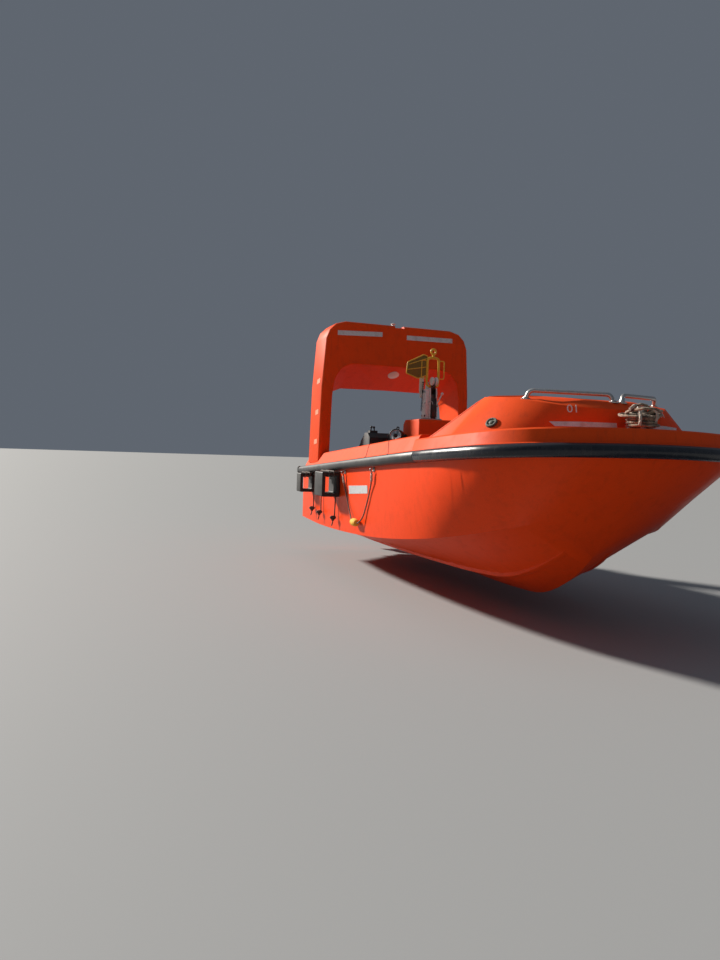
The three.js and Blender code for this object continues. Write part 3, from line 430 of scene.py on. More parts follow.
def rope_group():
    """Fibres of a laid rope along its own UV map: u round the rope, v along it."""
    w, given, out = new_group(
        "laid_fibres",
        [
            ("Light", "Color", (0.7, 0.6, 0.5)),
            ("Dark", "Color", (0.2, 0.12, 0.07)),
            ("Wear", "Float", 0.5),
        ],
        [("Colour", "Color"), ("Height", "Float")],
    )
    track = w.node("ShaderNodeUVMap", uv_map="along")
    fibres = w.noise(w.stretch(track.outputs["UV"], (60, 7, 1)), 1.0, 4, 0.7)
    blotch = w.band(w.noise(w.place(), 24, 4, 0.6), 0.4, 0.62)
    toned = w.mix(w.times(blotch, given["Wear"]), given["Light"], given["Dark"])
    gaps = w.band(fibres, 0.3, 0.7, 0.0, 0.45)
    w.join(w.mix(gaps, toned, (0.04, 0.03, 0.02)), out["Colour"])
    w.join(fibres, out["Height"])
    return w.tree


GROUPS = {"weather": weathering_group(), "wear": wear_group(), "rope": rope_group()}


def new_finish(name):
    material = bpy.data.materials.new(name)
    material.use_nodes = True
    wiring = Wiring(material.node_tree)
    skin = material.node_tree.nodes["Principled BSDF"]
    return material, wiring, skin


def place_group(w, kind, **values):
    made = w.node("ShaderNodeGroup", node_tree=GROUPS[kind])
    for key, value in values.items():
        made.inputs[key].default_value = (*value, 1.0) if isinstance(value, tuple) else value
    return made


def add_bump(w, skin, height, strength, distance):
    bump = w.node("ShaderNodeBump")
    fill(bump, Strength=strength, Distance=distance)
    w.join(height, bump.inputs["Height"])
    w.join(bump.outputs["Normal"], skin.inputs["Normal"])


def weathered(
    name, colour, faded, grime, fading=0.4, dirt=0.3, gloss=0.3, scale=1.0, bump=0.0008,
    coat=0.0, metal=0.0, bare=None, wear=0.004, treads=None, shine=0.4,
):
    """A painted, moulded or metal finish that salt and sun have aged."""
    material, w, skin = new_finish(name)
    age = place_group(
        w, "weather", Colour=colour, Faded=faded, Grime=grime, Fading=fading, Dirt=dirt,
        Gloss=gloss, Scale=scale,
    )
    tone, height = age.outputs["Colour"], age.outputs["Height"]
    if bare:
        rub = place_group(w, "wear", Width=wear)
        tone = w.mix(rub.outputs["Mask"], tone, bare)
    if treads:
        height = treads(w, height)
    w.join(tone, skin.inputs["Base Color"])
    w.join(age.outputs["Roughness"], skin.inputs["Roughness"])
    fill(skin, Metallic=metal, Specular_IOR_Level=shine, Coat_Weight=coat, Coat_Roughness=0.12)
    add_bump(w, skin, height, 0.6, bump)
    return material


def non_skid(w, height):
    """Raised diamonds on whatever faces up."""
    diagonal = w.node("ShaderNodeMapping")
    fill(diagonal, Rotation=(0, 0, math.radians(45)))
    w.join(w.place(), diagonal.inputs["Vector"])
    pattern = w.node("ShaderNodeTexBrick", offset=0.0)
    fill(pattern, Scale=42, Mortar_Size=0.06, Brick_Width=1.0, Row_Height=1.0)
    w.join(diagonal.outputs["Vector"], pattern.inputs["Vector"])
    diamonds = w.band(pattern.outputs["Fac"], 0.0, 1.0, 1.0, 0.0)
    raised = w.times(diamonds, w.facing_up(0.95, 0.99))
    return w.plus(height, w.times(raised, 2.0))


def tape_finish():
    """Retroreflective tape: small cells, creases and dirt."""
    material, w, skin = new_finish("reflective_tape")
    place = w.place()
    cells = w.node("ShaderNodeTexVoronoi", feature="DISTANCE_TO_EDGE")
    fill(cells, Scale=240)
    w.join(place, cells.inputs["Vector"])
    net = w.band(cells.outputs["Distance"], 0.0, 0.08)
    soil = w.band(w.noise(place, 14, 4, 0.6), 0.48, 0.72, 0.0, 0.6)
    tone = w.mix(net, (0.42, 0.43, 0.44), (0.66, 0.67, 0.68))
    w.join(w.mix(soil, tone, (0.34, 0.31, 0.29)), skin.inputs["Base Color"])
    w.join(w.band(soil, 0.0, 0.6, 0.28, 0.6), skin.inputs["Roughness"])
    fill(skin, Metallic=0.15)
    add_bump(w, skin, w.plus(net, w.noise(place, 30, 3)), 0.4, 0.0006)
    return material


def rope_finish(name, light, dark, wear):
    material, w, skin = new_finish(name)
    fibres = place_group(w, "rope", Light=light, Dark=dark, Wear=wear)
    w.join(fibres.outputs["Colour"], skin.inputs["Base Color"])
    fill(skin, Roughness=0.85, Sheen_Weight=0.3)
    add_bump(w, skin, fibres.outputs["Height"], 0.7, 0.0012)
    return material


def glass_finish():
    """The silvered bowl of a lamp behind its glass: pale and dark streaks of painted reflection in its
    colour, and the same noise in its roughness and bumps.
    """
    material, w, skin = new_finish("lamp_glass_with_painted_reflection")
    reflection_and_haze = w.noise(w.stretch(w.place(), (60, 60, 18)), 1.0, 4, 0.6)
    # Pale and dark streaks of painted reflection in the bowl's colour
    painted_reflection_streaks = w.mix(w.band(reflection_and_haze, 0.4, 0.6), (0.88, 0.90, 0.92), (0.22, 0.23, 0.25))
    w.join(painted_reflection_streaks, skin.inputs["Base Color"])
    w.join(w.band(reflection_and_haze, 0.4, 0.7, 0.10, 0.3), skin.inputs["Roughness"])
    fill(skin, Metallic=0.75, Coat_Weight=0.6)
    add_bump(w, skin, reflection_and_haze, 0.4, 0.0015)
    return material


ORANGE = (0.85, 0.060, 0.006)
FADED_ORANGE = (0.84, 0.090, 0.015)

FINISH = {
    "hull": weathered(
        "hull_gelcoat", ORANGE, (0.84, 0.075, 0.010), (0.16, 0.02, 0.01),
        fading=0.3, dirt=0.24, gloss=0.36, scale=0.8, bump=0.0005, shine=0.10,
    ),
    "deck": weathered(
        "deck_gelcoat", (0.78, 0.066, 0.008), FADED_ORANGE, (0.20, 0.035, 0.02),
        fading=0.5, dirt=0.3, gloss=0.46, scale=1.1, bump=0.0006, shine=0.07,
    ),
    "sole": weathered(
        "non_skid_gelcoat", (0.66, 0.075, 0.02), (0.68, 0.15, 0.07), (0.10, 0.05, 0.035),
        fading=0.5, dirt=0.6, gloss=0.55, bump=0.0012, treads=non_skid, shine=0.1,
    ),
    "rubber": weathered(
        "fender_rubber", (0.012, 0.013, 0.015), (0.085, 0.082, 0.08), (0.16, 0.15, 0.13),
        fading=0.55, dirt=0.35, gloss=0.42, scale=1.6, bump=0.0015,
    ),
    # The bow fender: the same rubber as the others, glossier, with a darker tone that is painted shade
    "shaded_bow_rubber": weathered(
        "bow_fender_rubber_painted_shade", (0.008, 0.011, 0.018), (0.028, 0.032, 0.042), (0.10, 0.09, 0.08),
        fading=0.45, dirt=0.25, gloss=0.24, scale=1.6, bump=0.001,
    ),
    "block_rubber": weathered(
        "block_rubber", (0.014, 0.013, 0.013), (0.05, 0.048, 0.046), (0.12, 0.11, 0.10),
        fading=0.4, dirt=0.4, gloss=0.5, scale=3.0, bump=0.001,
    ),
    "steel": weathered(
        "worn_steel", (0.46, 0.46, 0.45), (0.58, 0.57, 0.55), (0.22, 0.11, 0.05),
        fading=0.3, dirt=0.45, gloss=0.30, metal=0.85, scale=4.0, bump=0.0004,
    ),
    "dark_steel": weathered(
        "greased_steel", (0.035, 0.033, 0.032), (0.10, 0.09, 0.085), (0.17, 0.08, 0.035),
        fading=0.4, dirt=0.5, gloss=0.38, metal=0.5, scale=5.0, bump=0.0006,
    ),
    "white": weathered(
        "chipped_white_paint", (0.74, 0.73, 0.69), (0.80, 0.79, 0.76), (0.26, 0.15, 0.08),
        fading=0.3, dirt=0.6, gloss=0.35, scale=6.0, bare=(0.20, 0.10, 0.05), wear=0.003,
    ),
    "yellow": weathered(
        "chipped_yellow_paint", (0.74, 0.46, 0.025), (0.82, 0.60, 0.12), (0.16, 0.11, 0.03),
        fading=0.35, dirt=0.65, gloss=0.36, scale=7.0, bare=(0.12, 0.08, 0.04), wear=0.002,
    ),
    "olive": weathered(
        "grimy_yellow_plate", (0.17, 0.12, 0.015), (0.30, 0.22, 0.04), (0.035, 0.026, 0.01),
        fading=0.4, dirt=0.8, gloss=0.45, scale=8.0, bare=(0.65, 0.5, 0.2), wear=0.003,
    ),
    "plastic": weathered(
        "console_plastic", (0.012, 0.012, 0.013), (0.045, 0.045, 0.046), (0.09, 0.08, 0.07),
        fading=0.5, dirt=0.35, gloss=0.42, scale=3.0, bump=0.0006,
    ),
    "vinyl": weathered(
        "seat_vinyl", (0.010, 0.010, 0.011), (0.022, 0.022, 0.022), (0.06, 0.05, 0.045),
        fading=0.5, dirt=0.3, gloss=0.5, scale=5.0, bump=0.001, shine=0.2,
    ),
    "cowl": weathered(
        "motor_enamel", (0.010, 0.010, 0.012), (0.03, 0.03, 0.032), (0.10, 0.09, 0.08),
        fading=0.4, dirt=0.22, gloss=0.16, coat=0.8, scale=2.5, bump=0.0003,
    ),
    "leg": weathered(
        "motor_casting", (0.022, 0.023, 0.025), (0.06, 0.06, 0.062), (0.20, 0.19, 0.17),
        fading=0.4, dirt=0.4, gloss=0.34, metal=0.2, scale=3.0, bare=(0.30, 0.30, 0.30), wear=0.003,
    ),
    "vent": weathered(
        "vent_plastic", (0.10, 0.115, 0.09), (0.22, 0.23, 0.19), (0.03, 0.03, 0.025),
        fading=0.5, dirt=0.5, gloss=0.5, scale=6.0,
    ),
    "lens": weathered(
        "light_lens", (0.74, 0.75, 0.72), (0.82, 0.82, 0.8), (0.4, 0.38, 0.34),
        fading=0.3, dirt=0.3, gloss=0.12, coat=0.6, scale=8.0,
    ),
    "float": weathered(
        "float_foam", (0.80, 0.42, 0.02), (0.82, 0.52, 0.10), (0.22, 0.15, 0.07),
        fading=0.5, dirt=0.7, gloss=0.7, scale=7.0, bump=0.003,
    ),
    "seam": weathered(
        "seam_sealant", (0.10, 0.022, 0.012), (0.16, 0.05, 0.03), (0.03, 0.02, 0.015),
        fading=0.3, dirt=0.6, gloss=0.6, scale=6.0,
    ),
    "lip": weathered(
        "moulded_lip", (0.80, 0.10, 0.02), (0.84, 0.15, 0.05), (0.30, 0.07, 0.03),
        fading=0.5, dirt=0.3, gloss=0.44, scale=3.0, shine=0.12,
    ),
    "tape": tape_finish(),
    "glass": glass_finish(),
    "rope": rope_finish("line_fibres", (0.15, 0.095, 0.065), (0.03, 0.018, 0.012), 0.9),
    "hawser": rope_finish("hawser_fibres", (0.46, 0.33, 0.22), (0.05, 0.028, 0.018), 0.95),
    "whipping": rope_finish("whipping_twine", (0.70, 0.62, 0.53), (0.34, 0.22, 0.14), 0.5),
    "chrome": weathered(
        "lamp_chrome", (0.62, 0.63, 0.64), (0.66, 0.66, 0.66), (0.25, 0.2, 0.16),
        fading=0.2, dirt=0.3, gloss=0.12, metal=1.0, scale=9.0, bump=0.0002,
    ),
    "dial": weathered(
        "dial_face", (0.02, 0.02, 0.022), (0.05, 0.05, 0.05), (0.3, 0.3, 0.3),
        fading=0.3, dirt=0.3, gloss=0.10, coat=0.9, scale=40.0, bump=0.0002,
    ),
    "old_tape": weathered(
        "worn_label", (0.72, 0.66, 0.62), (0.80, 0.62, 0.55), (0.66, 0.20, 0.10),
        fading=0.4, dirt=0.7, gloss=0.5, scale=9.0, bump=0.0008,
    ),
    "faint_mark": weathered(
        "faint_label", (0.80, 0.25, 0.13), (0.84, 0.32, 0.20), (0.66, 0.10, 0.03),
        fading=0.4, dirt=1.0, gloss=0.5, scale=9.0, bump=0.0006,
    ),
}

# Pieces made from sections, and sheets pressed on the solids


def cleaned(piece):
    make_active(piece)
    bpy.ops.object.mode_set(mode="EDIT")
    bpy.ops.mesh.select_all(action="SELECT")
    bpy.ops.mesh.remove_doubles(threshold=MERGE_NEW)
    bpy.ops.mesh.normals_make_consistent(inside=False)
    bpy.ops.object.mode_set(mode="OBJECT")
    return piece


def lathe(name, at, axis, profile, sides):
    """A turned piece: radius and distance along the axis for each ring, from one end to the other."""
    turn = Vector(axis).to_track_quat("Z", "Y").to_matrix()
    points, rings, faces = [], [], []
    for radius, along in profile:
        count = sides if radius > 0 else 1
        rings.append(list(range(len(points), len(points) + count)))
        for k in range(count):
            angle = math.tau * k / sides
            local = Vector((radius * math.cos(angle), radius * math.sin(angle), along))
            points.append(tuple(Vector(at) + turn @ local))
    for low, high in zip(rings, rings[1:]):
        for k in range(sides):
            after = (k + 1) % sides
            near = [low[k % len(low)], low[after % len(low)]]
            far = [high[after % len(high)], high[k % len(high)]]
            face = list(dict.fromkeys(near + far))
            if len(face) > 2:
                faces.append(face)
    faces += [ring for ring in (rings[0], rings[-1]) if len(ring) > 1]
    mesh = bpy.data.meshes.new(name)
    mesh.from_pydata(points, [], faces)
    piece = bpy.data.objects.new(name, mesh)
    bpy.context.scene.collection.objects.link(piece)
    return cleaned(piece)


def turned(name, at, axis, profile, finish, slot, body="boat", sides=32, replaces=None):
    return dress(lathe(name, at, axis, profile, sides), finish, body, replaces=replaces)


def eased_block(name, low, high, width, finish, body="boat", segments=2):
    return dress(soften(block(name, low, high), width, segments), finish, body)


def tube(name, points, radius, sides, finish, slot, body="boat", closed=False, replaces=None):
    bar = pipe(name, points, radius, sides, closed)
    return dress(bar, finish, body, replaces=replaces)


def drum(radius, low, high):
    """The profile of a plain round head."""
    return [(0.0, low), (radius, low), (radius, high), (0.0, high)]


SURFACES = {}
TAPE_THICKNESS = 0.0014
PRESSED_FROM = 0.2


def struck(node, start, toward):
    """Where a ray first meets a CAD node, and which way its face looks there."""
    if node not in SURFACES:
        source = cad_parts[node]
        points = [source.matrix_world @ vertex.co for vertex in source.data.vertices]
        faces = [face.vertices for face in source.data.polygons]
        SURFACES[node] = BVHTree.FromPolygons(points, faces)
    at, normal, _, _ = SURFACES[node].ray_cast(start, toward)
    return at, normal


def decal(name, node, corners, toward, columns, rows, finish):
    """A thin sheet that lies on a CAD node: four corners in order, pressed on along a direction."""
    toward = Vector(toward).normalized()
    a, b, c, d = (Vector(p) for p in corners)
    deselect()
    bpy.ops.mesh.primitive_grid_add(x_subdivisions=columns, y_subdivisions=rows, size=1)
    piece = take(name)
    for vertex in piece.data.vertices:
        u, v = vertex.co.x + 0.5, vertex.co.y + 0.5
        flat = (a * (1 - u) + b * u) * (1 - v) + (d * (1 - u) + c * u) * v
        at, normal = struck(node, flat - toward * PRESSED_FROM, toward)
        vertex.co = at + normal * TAPE_THICKNESS if at else flat
    sheet = piece.modifiers.new("thickness", "SOLIDIFY")
    sheet.thickness = TAPE_THICKNESS
    sheet.offset = 0.0
    make_active(piece)
    bpy.ops.object.modifier_apply(modifier="thickness")
    return dress(cleaned(piece), finish, smooth=0)


def painted(piece, finish, pick):
    """Gives the faces that a test picks another finish."""
    piece.data.materials.append(FINISH[finish])
    last = len(piece.data.materials) - 1
    for face in piece.data.polygons:
        if pick(face.center, face.normal):
            face.material_index = last
    return piece


# Ropes: each route repeats the one that the solids follow

LINE_RADIUS = 0.006
HAWSER_RADIUS = 0.0085
STRANDS = 3
LAY = 5.5
ROPE_STEP = 0.004


def spline(points):
    """A smooth line through the points: a centripetal curve, sampled about every ROPE_STEP."""
    knots = [Vector(p) for p in points]
    knots = [knots[0] * 2 - knots[1]] + knots + [knots[-1] * 2 - knots[-2]]
    line = []
    for p0, p1, p2, p3 in zip(knots, knots[1:], knots[2:], knots[3:]):
        t1 = (p1 - p0).length ** 0.5
        t2 = t1 + (p2 - p1).length ** 0.5
        t3 = t2 + (p3 - p2).length ** 0.5
        count = max(1, round((p2 - p1).length / ROPE_STEP))
        for i in range(count):
            t = t1 + (t2 - t1) * i / count
            a1 = p0 * ((t1 - t) / t1) + p1 * (t / t1)
            a2 = p1 * ((t2 - t) / (t2 - t1)) + p2 * ((t - t1) / (t2 - t1))
            a3 = p2 * ((t3 - t) / (t3 - t2)) + p3 * ((t - t2) / (t3 - t2))
            b1 = a1 * ((t2 - t) / t2) + a2 * (t / t2)
            b2 = a2 * ((t3 - t) / (t3 - t1)) + a3 * ((t - t1) / (t3 - t1))
            line.append(b1 * ((t2 - t) / (t2 - t1)) + b2 * ((t - t1) / (t2 - t1)))
    return line + [knots[-2]]


def sweep(name, line, radius, sides=18, closed=False):
    """A laid rope along a line: its strands stand out and turn once in LAY diameters."""
    count = len(line)
    after = [line[(i + 1) % count] if closed else line[min(i + 1, count - 1)] for i in range(count)]
    before = [line[i - 1] if closed or i else line[0] for i in range(count)]
    tangents = [(b - a).normalized() for a, b in zip(before, after)]
    across = tangents[0].orthogonal().normalized()
    points, travelled, along = [], 0.0, []
    for i, (at, tangent) in enumerate(zip(line, tangents)):
        across = (across - tangent * across.dot(tangent)).normalized()
        other = tangent.cross(across)
        travelled += (at - line[i - 1]).length if i else 0.0
        along.append(travelled)
        spin = math.tau * travelled / (LAY * radius * 2)
        for k in range(sides):
            angle = math.tau * k / sides
            groove = 0.5 - 0.5 * math.cos(STRANDS * angle)
            reach = radius * (1 - 0.2 * groove**2)
            around = angle + spin
            points.append(at + across * math.cos(around) * reach + other * math.sin(around) * reach)
    faces, tracks = [], []
    for i in range(count if closed else count - 1):
        for k in range(sides):
            far, turn = (i + 1) % count, (k + 1) % sides
            faces.append((i * sides + k, i * sides + turn, far * sides + turn, far * sides + k))
            end = along[i] + (line[far] - line[i]).length
            u = k / sides, (k + 1) / sides
            tracks += [(u[0], along[i]), (u[1], along[i]), (u[1], end), (u[0], end)]
    if not closed:
        faces += [tuple(reversed(range(sides))), tuple(range((count - 1) * sides, count * sides))]
        tracks += [(k / sides, 0.0) for k in range(sides)] * 2
    mesh = bpy.data.meshes.new(name)
    mesh.from_pydata([tuple(p) for p in points], [], faces)
    layer = mesh.uv_layers.new(name="along")
    for corner, track in zip(layer.data, tracks):
        corner.uv = track
    mesh.update()
    piece = bpy.data.objects.new(name, mesh)
    bpy.context.scene.collection.objects.link(piece)
    return piece


def overhand_knot(name, at, radius):
    """A stopper knot: one closed overhand turn of the rope."""
    line, stations = [], 72
    for i in range(stations):
        t = math.tau * i / stations
        x, y = math.sin(t) + 2 * math.sin(2 * t), math.cos(t) - 2 * math.cos(2 * t)
        line.append(Vector(at) + Vector((math.sin(3 * t) * 1.1, x, y)) * radius * 0.85)
    return sweep(name, line, radius * 0.95, closed=True, sides=12)


# Starboard routes of the lifeline; the port side mirrors them
AFT_BIGHT = [
    (-0.6500, -0.9294, 0.4690), (-0.6360, -0.9247, 0.4060), (-0.5920, -0.9155, 0.3100),
    (-0.5250, -0.9119, 0.2050), (-0.4450, -0.9169, 0.1250), (-0.3700, -0.9310, 0.0800),
    (-0.3476, -0.9310, 0.0780),
]
FORE_BIGHT = [
    (0.1300, -0.9449, 0.5196), (0.1040, -0.9364, 0.4440), (0.0280, -0.9230, 0.3450),
    (-0.0600, -0.9154, 0.2280), (-0.1320, -0.9177, 0.1320), (-0.2040, -0.9310, 0.0800),
    (-0.2244, -0.9309, 0.0780),
]
FLOAT_START = (-0.347, -0.9310, 0.078)
# Distance along the float and radius there
FLOAT_SECTIONS = [
    (0.0, 0.012), (0.006, 0.026), (0.028, 0.032), (0.094, 0.032), (0.116, 0.026), (0.122, 0.012),
]
# The hung fenders' rope tails: along the boat, top, across, end
TAILS = [
    (-1.700, 0.4487, -0.8993, 0.072), (-1.400, 0.4687, -0.9063, 0.058),
    (-0.900, 0.2557, -0.9177, 0.052),
]


def line_float(side, mirror):
    """The foam float at the middle of a lifeline."""
    x, y, z = FLOAT_START
    start = Vector((x, y * mirror, z))
    parts = [
        rod("float", start + Vector((a, 0, 0)), start + Vector((b, 0, 0)), ra, 32, rb)
        for (a, ra), (b, rb) in zip(FLOAT_SECTIONS, FLOAT_SECTIONS[1:])
    ]
    foam = cleaned(joined(f"lifeline_float_{side}", *parts))
    return dress(foam, "float", replaces=f"line_float_{side}")


def lifelines():
    for side, mirror in SIDES:
        foam = line_float(side, mirror)
        for half, route in (("aft", AFT_BIGHT), ("fore", FORE_BIGHT)):
            line = spline([(x, y * mirror, z) for x, y, z in route])
            rope = sweep(f"lifeline_{side}_{half}_rope", line, LINE_RADIUS)
            dress(rope, "rope", replaces=f"lifeline_{side}_{half}")
            sleeve = sweep(f"lifeline_{side}_{half}_splice", line[3:20], LINE_RADIUS * 1.8)
            dress(sleeve, "whipping")


def fender_tails():
    """The lashings' ends, each with a stopper knot and a short loose end."""
    for i, (x, top, y, bottom) in enumerate(TAILS, 1):
        third = (top - bottom) / 3
        route = [
            (x, y, top), (x + 0.002, y, top - third), (x - 0.004, y - 0.001, bottom + third),
            (x - 0.002, y, bottom),
        ]
        line = spline(route)
        rope = sweep(f"fender_tail_{i}", line, LINE_RADIUS)
        knot = overhand_knot(f"tail_knot_{i}", line[-1] - Vector((0, 0.016, 0)), LINE_RADIUS * 1.5)
        below = line[-1] - Vector((0, 0.016, 0.014))
        bends = [Vector((0.004, -0.004, -0.028)), Vector((-0.004, -0.010, -0.056))]
        end = sweep(f"tail_end_{i}", spline([below, *(below + bend for bend in bends)]), LINE_RADIUS)
        dress(rope, "rope", replaces=f"rope_tail_{i}")
        dress(knot, "rope")
        dress(end, "rope")


BITT = Vector((2.07, 0.0, 0.0))
TURN_STATIONS = 44
TURN_GAP = 0.0006
# Layers of mooring turns round the bitt: height, inner and outer radius
LAYERS = [
    (0.8870, 0.036, 0.088), (0.9055, 0.036, 0.088), (0.9240, 0.036, 0.086), (0.9425, 0.036, 0.074),
]
LOOP_STATIONS = 90
# Slack loops over the layers: radius, height, lean across, lean ahead, shift ahead, shift across
SLACK_LOOPS = [
    (0.074, 0.958, 0.16, 0.10, 0.000, 0.010), (0.088, 0.962, -0.14, 0.16, 0.008, -0.014),
    (0.062, 0.972, 0.30, -0.16, -0.008, 0.006), (0.095, 0.950, 0.10, -0.14, 0.002, -0.012),
    (0.050, 0.984, -0.42, 0.25, 0.004, -0.018),
]
# The mooring line's loose ends, from the bitt's foot
LOOSE_ENDS = [
    [(0.060, -0.070, 0.965), (0.075, -0.078, 0.945), (0.082, -0.082, 0.912), (0.080, -0.086, 0.888)],
    [(0.070, 0.010, 0.985), (0.090, 0.018, 0.972), (0.100, 0.020, 0.940), (0.098, 0.012, 0.912)],
    [(0.010, -0.020, 0.985), (0.018, -0.048, 1.004), (0.020, -0.082, 1.000), (0.016, -0.104, 0.978)],
]


def layered_turns():
    """One line wound in layers, outwards and inwards in turn, climbing half a turn between them."""
    line, angle = [], 0.0
    before, last = LAYERS[0][:2]
    for level, (z, inner, outer) in enumerate(LAYERS):
        start, end = last, inner if level % 2 else outer
        climb = TURN_STATIONS // 2 if level else 0
        steps = round(abs(end - start) / (HAWSER_RADIUS * 2 + TURN_GAP) * TURN_STATIONS)
        for i in range(climb + steps):
            share = min(1.0, i / climb) if climb else 1.0
            bulge = 0.0026 * math.sin(math.pi * share) * (1 if start > end else -1)
            radius = start + bulge + (end - start) * max(0, i - climb) / steps
            height = before + (z - before) * (1 - math.cos(math.pi * share)) / 2
            line.append(BITT + Vector((radius * math.cos(angle), radius * math.sin(angle), height)))
            angle += math.tau / TURN_STATIONS
        before, last = z, end
    return line


def mooring_heap():
    """The mooring line, turned up on the bitt in rough layers, with slack turns thrown over it."""
    line = layered_turns()
    rope = sweep("mooring_turns", line, HAWSER_RADIUS, sides=12)
    dress(rope, "hawser", replaces="bitt_turns")
    slack_turns()


def slack_turns():
    """Closed slack loops, each tilted its own way, and the line's loose ends."""
    made = []
    for k, (radius, height, across, ahead, shift_x, shift_y) in enumerate(SLACK_LOOPS):
        line = []
        for i in range(LOOP_STATIONS):
            angle = math.tau * i / LOOP_STATIONS
            wobble = 1 + 0.20 * math.sin(2 * angle + k * 1.9) + 0.10 * math.sin(3 * angle + k)
            x, y = radius * wobble * math.cos(angle), radius * wobble * math.sin(angle)
            z = height + x * ahead + y * across
            line.append(BITT + Vector((x + shift_x, y + shift_y, z)))
        loop = sweep(f"slack_turn_{k + 1}", line, HAWSER_RADIUS, closed=True, sides=12)
        made.append(dress(loop, "hawser"))
    for k, route in enumerate(LOOSE_ENDS):
        line = spline([BITT + Vector(point) for point in route])
        end = sweep(f"mooring_end_{k + 1}", line, HAWSER_RADIUS)
        made.append(dress(end, "whipping"))
    return made


# Hull, deck and arch

# Nodes that keep their solid's form, with their edges softened: node, finish, edge width, slot, body
SOFTENED = [
    ("hull", "hull", 0.008, "gelcoat_orange", "boat"),
    ("cockpit_liner", "sole", 0.010, "gelcoat_orange", "boat"),
    ("motor_well", "sole", 0.006, "gelcoat_orange", "boat"),
    ("cuddy_floor", "sole", 0.004, "gelcoat_orange", "boat"),
    ("coaming_starboard", "deck", 0.006, "gelcoat_orange", "boat"),
    ("coaming_port", "deck", 0.006, "gelcoat_orange", "boat"),
    ("cuddy", "deck", 0.006, "gelcoat_orange", "boat"),
    ("arch", "deck", 0.003, "gelcoat_orange", "boat"),
    ("fender_starboard", "rubber", 0.004, "fender_rubber", "boat"),
    ("fender_port", "rubber", 0.004, "fender_rubber", "boat"),
    # The bow fender takes the rubber darkened by painted shade
    ("fender_bow", "shaded_bow_rubber", 0.004, "fender_rubber", "boat"),
    ("fender_stern_starboard", "rubber", 0.004, "fender_rubber", "boat"),
    ("fender_stern_port", "rubber", 0.004, "fender_rubber", "boat"),
    ("bench_starboard", "sole", 0.012, "gelcoat_orange", "boat"),
    ("bench_port", "sole", 0.012, "gelcoat_orange", "boat"),
    ("hook_pedestal", "deck", 0.009, "gelcoat_orange", "boat"),
    ("release_jaw", "dark_steel", 0.0012, "galvanised_steel", "release_jaw"),
    ("searchlight_bracket", "cowl", 0.002, "lamp_black", "boat"),
    ("searchlight_yoke", "cowl", 0.002, "lamp_black", "searchlight_yoke"),
    ("bow_bitt", "steel", 0.002, "galvanised_steel", "boat"),
    ("stern_cleat_starboard", "steel", 0.002, "galvanised_steel", "boat"),
    ("stern_cleat_port", "steel", 0.002, "galvanised_steel", "boat"),
    ("motor_clamp", "leg", 0.002, "motor_grey", "boat"),
    ("motor_swivel", "leg", 0.002, "motor_grey", "motor_swivel"),
    ("motor_leg", "leg", 0.002, "motor_grey", "motor"),
    ("motor_cowl", "cowl", 0.010, "motor_black", "motor"),
    ("propeller", "leg", 0.0015, "motor_grey", "propeller"),
    ("steering_wheel", "vinyl", 0.001, "wheel_black", "steering_wheel"),
    ("helm_console", "plastic", 0.010, "console_black", "boat"),
]
# Edges at least this wide get three segments instead of two
WIDE_EDGE = 0.005


def softened_nodes():
    for node, finish, width, slot, body in SOFTENED:
        piece = copy_of(node, f"{node}_skin", width, 2 if width < WIDE_EDGE else 3)
        dress(piece, finish, body, replaces=node)


# The gunwale's starboard edge where the seams and screws need it
GUNWALE = [
    (-0.7, -0.908, 0.555), (0.1, -0.924, 0.607), (0.497, -0.9327, 0.6313), (0.88, -0.938, 0.654),
]
# Coaming section, out and up from the gunwale's edge
COAMING = [
    (0.0005, 0.01), (0.0005, 0.042), (-0.012, 0.0465), (-0.070, 0.1555), (-0.085, 0.1655),
    (-0.150, 0.1655),
]
COAMING_RISE = 0.155
# Where each seam's foot and top lie along the boat
SEAMS = [(0.47, 0.25), (-0.09, -0.22)]


def gunwale_at(x):
    for a, b in zip(GUNWALE, GUNWALE[1:]):
        if x <= b[0]:
            return Vector(a).lerp(Vector(b), (x - a[0]) / (b[0] - a[0]))
    return Vector(GUNWALE[-1])


def coaming_seams():
    for side, mirror in SIDES:
        for i, (foot, top) in enumerate(SEAMS):
            points = []
            for out, up in COAMING:
                share = min(1.0, up / COAMING_RISE)
                edge = gunwale_at(foot + (top - foot) * share)
                points.append((edge.x, (edge.y - out) * mirror, edge.z + up))
            tube(f"coaming_seam_{side}_{i + 1}", points, 0.0018, 2, "seam", "gelcoat_orange")


def fender_screws():
    """The screw that holds the middle of each side's fender."""
    head = [(0.0, -0.004), (0.0078, -0.004), (0.0078, 0.0014), (0.005, 0.0034), (0.0, 0.0038)]
    for side, mirror in SIDES:
        at, ahead = gunwale_at(0.500), gunwale_at(0.520) - gunwale_at(0.480)
        inward = Vector((ahead.y, -ahead.x, 0)).normalized()
        start = at - inward * 0.30 + Vector((0, 0, 0.004))
        for v in (start, inward):
            v.y *= mirror
        seat, _ = struck(f"fender_{side}", start, inward)
        name = f"fender_screw_{side}"
        turned(name, seat, -inward, head, "steel", "galvanised_steel", sides=12)


# The blank panel on the hull's side, starboard, corner by corner
NAME_PANEL = [(-0.535, -1, 0.304), (-0.045, -1, 0.340), (-0.045, -1, 0.406), (-0.545, -1, 0.375)]


def hull_marks():
    for side, mirror in SIDES:
        placed = [(x, y * mirror, z) for x, y, z in NAME_PANEL]
        decal(f"name_panel_{side}", "hull", placed, (0, mirror, 0), 12, 4, "tape")


ARCH_FRONT = -1.72
# Tapes across the arch's front: name, y and z of both lower corners
ARCH_TAPES = [
    ("starboard", -0.692, 1.878, -0.196, 1.899),
    ("port", 0.084, 1.888, 0.625, 1.896),
]
ARCH_TAPE_HEIGHT = 0.049
LEG_MARK_HEIGHTS = (1.37, 1.045, 0.735)


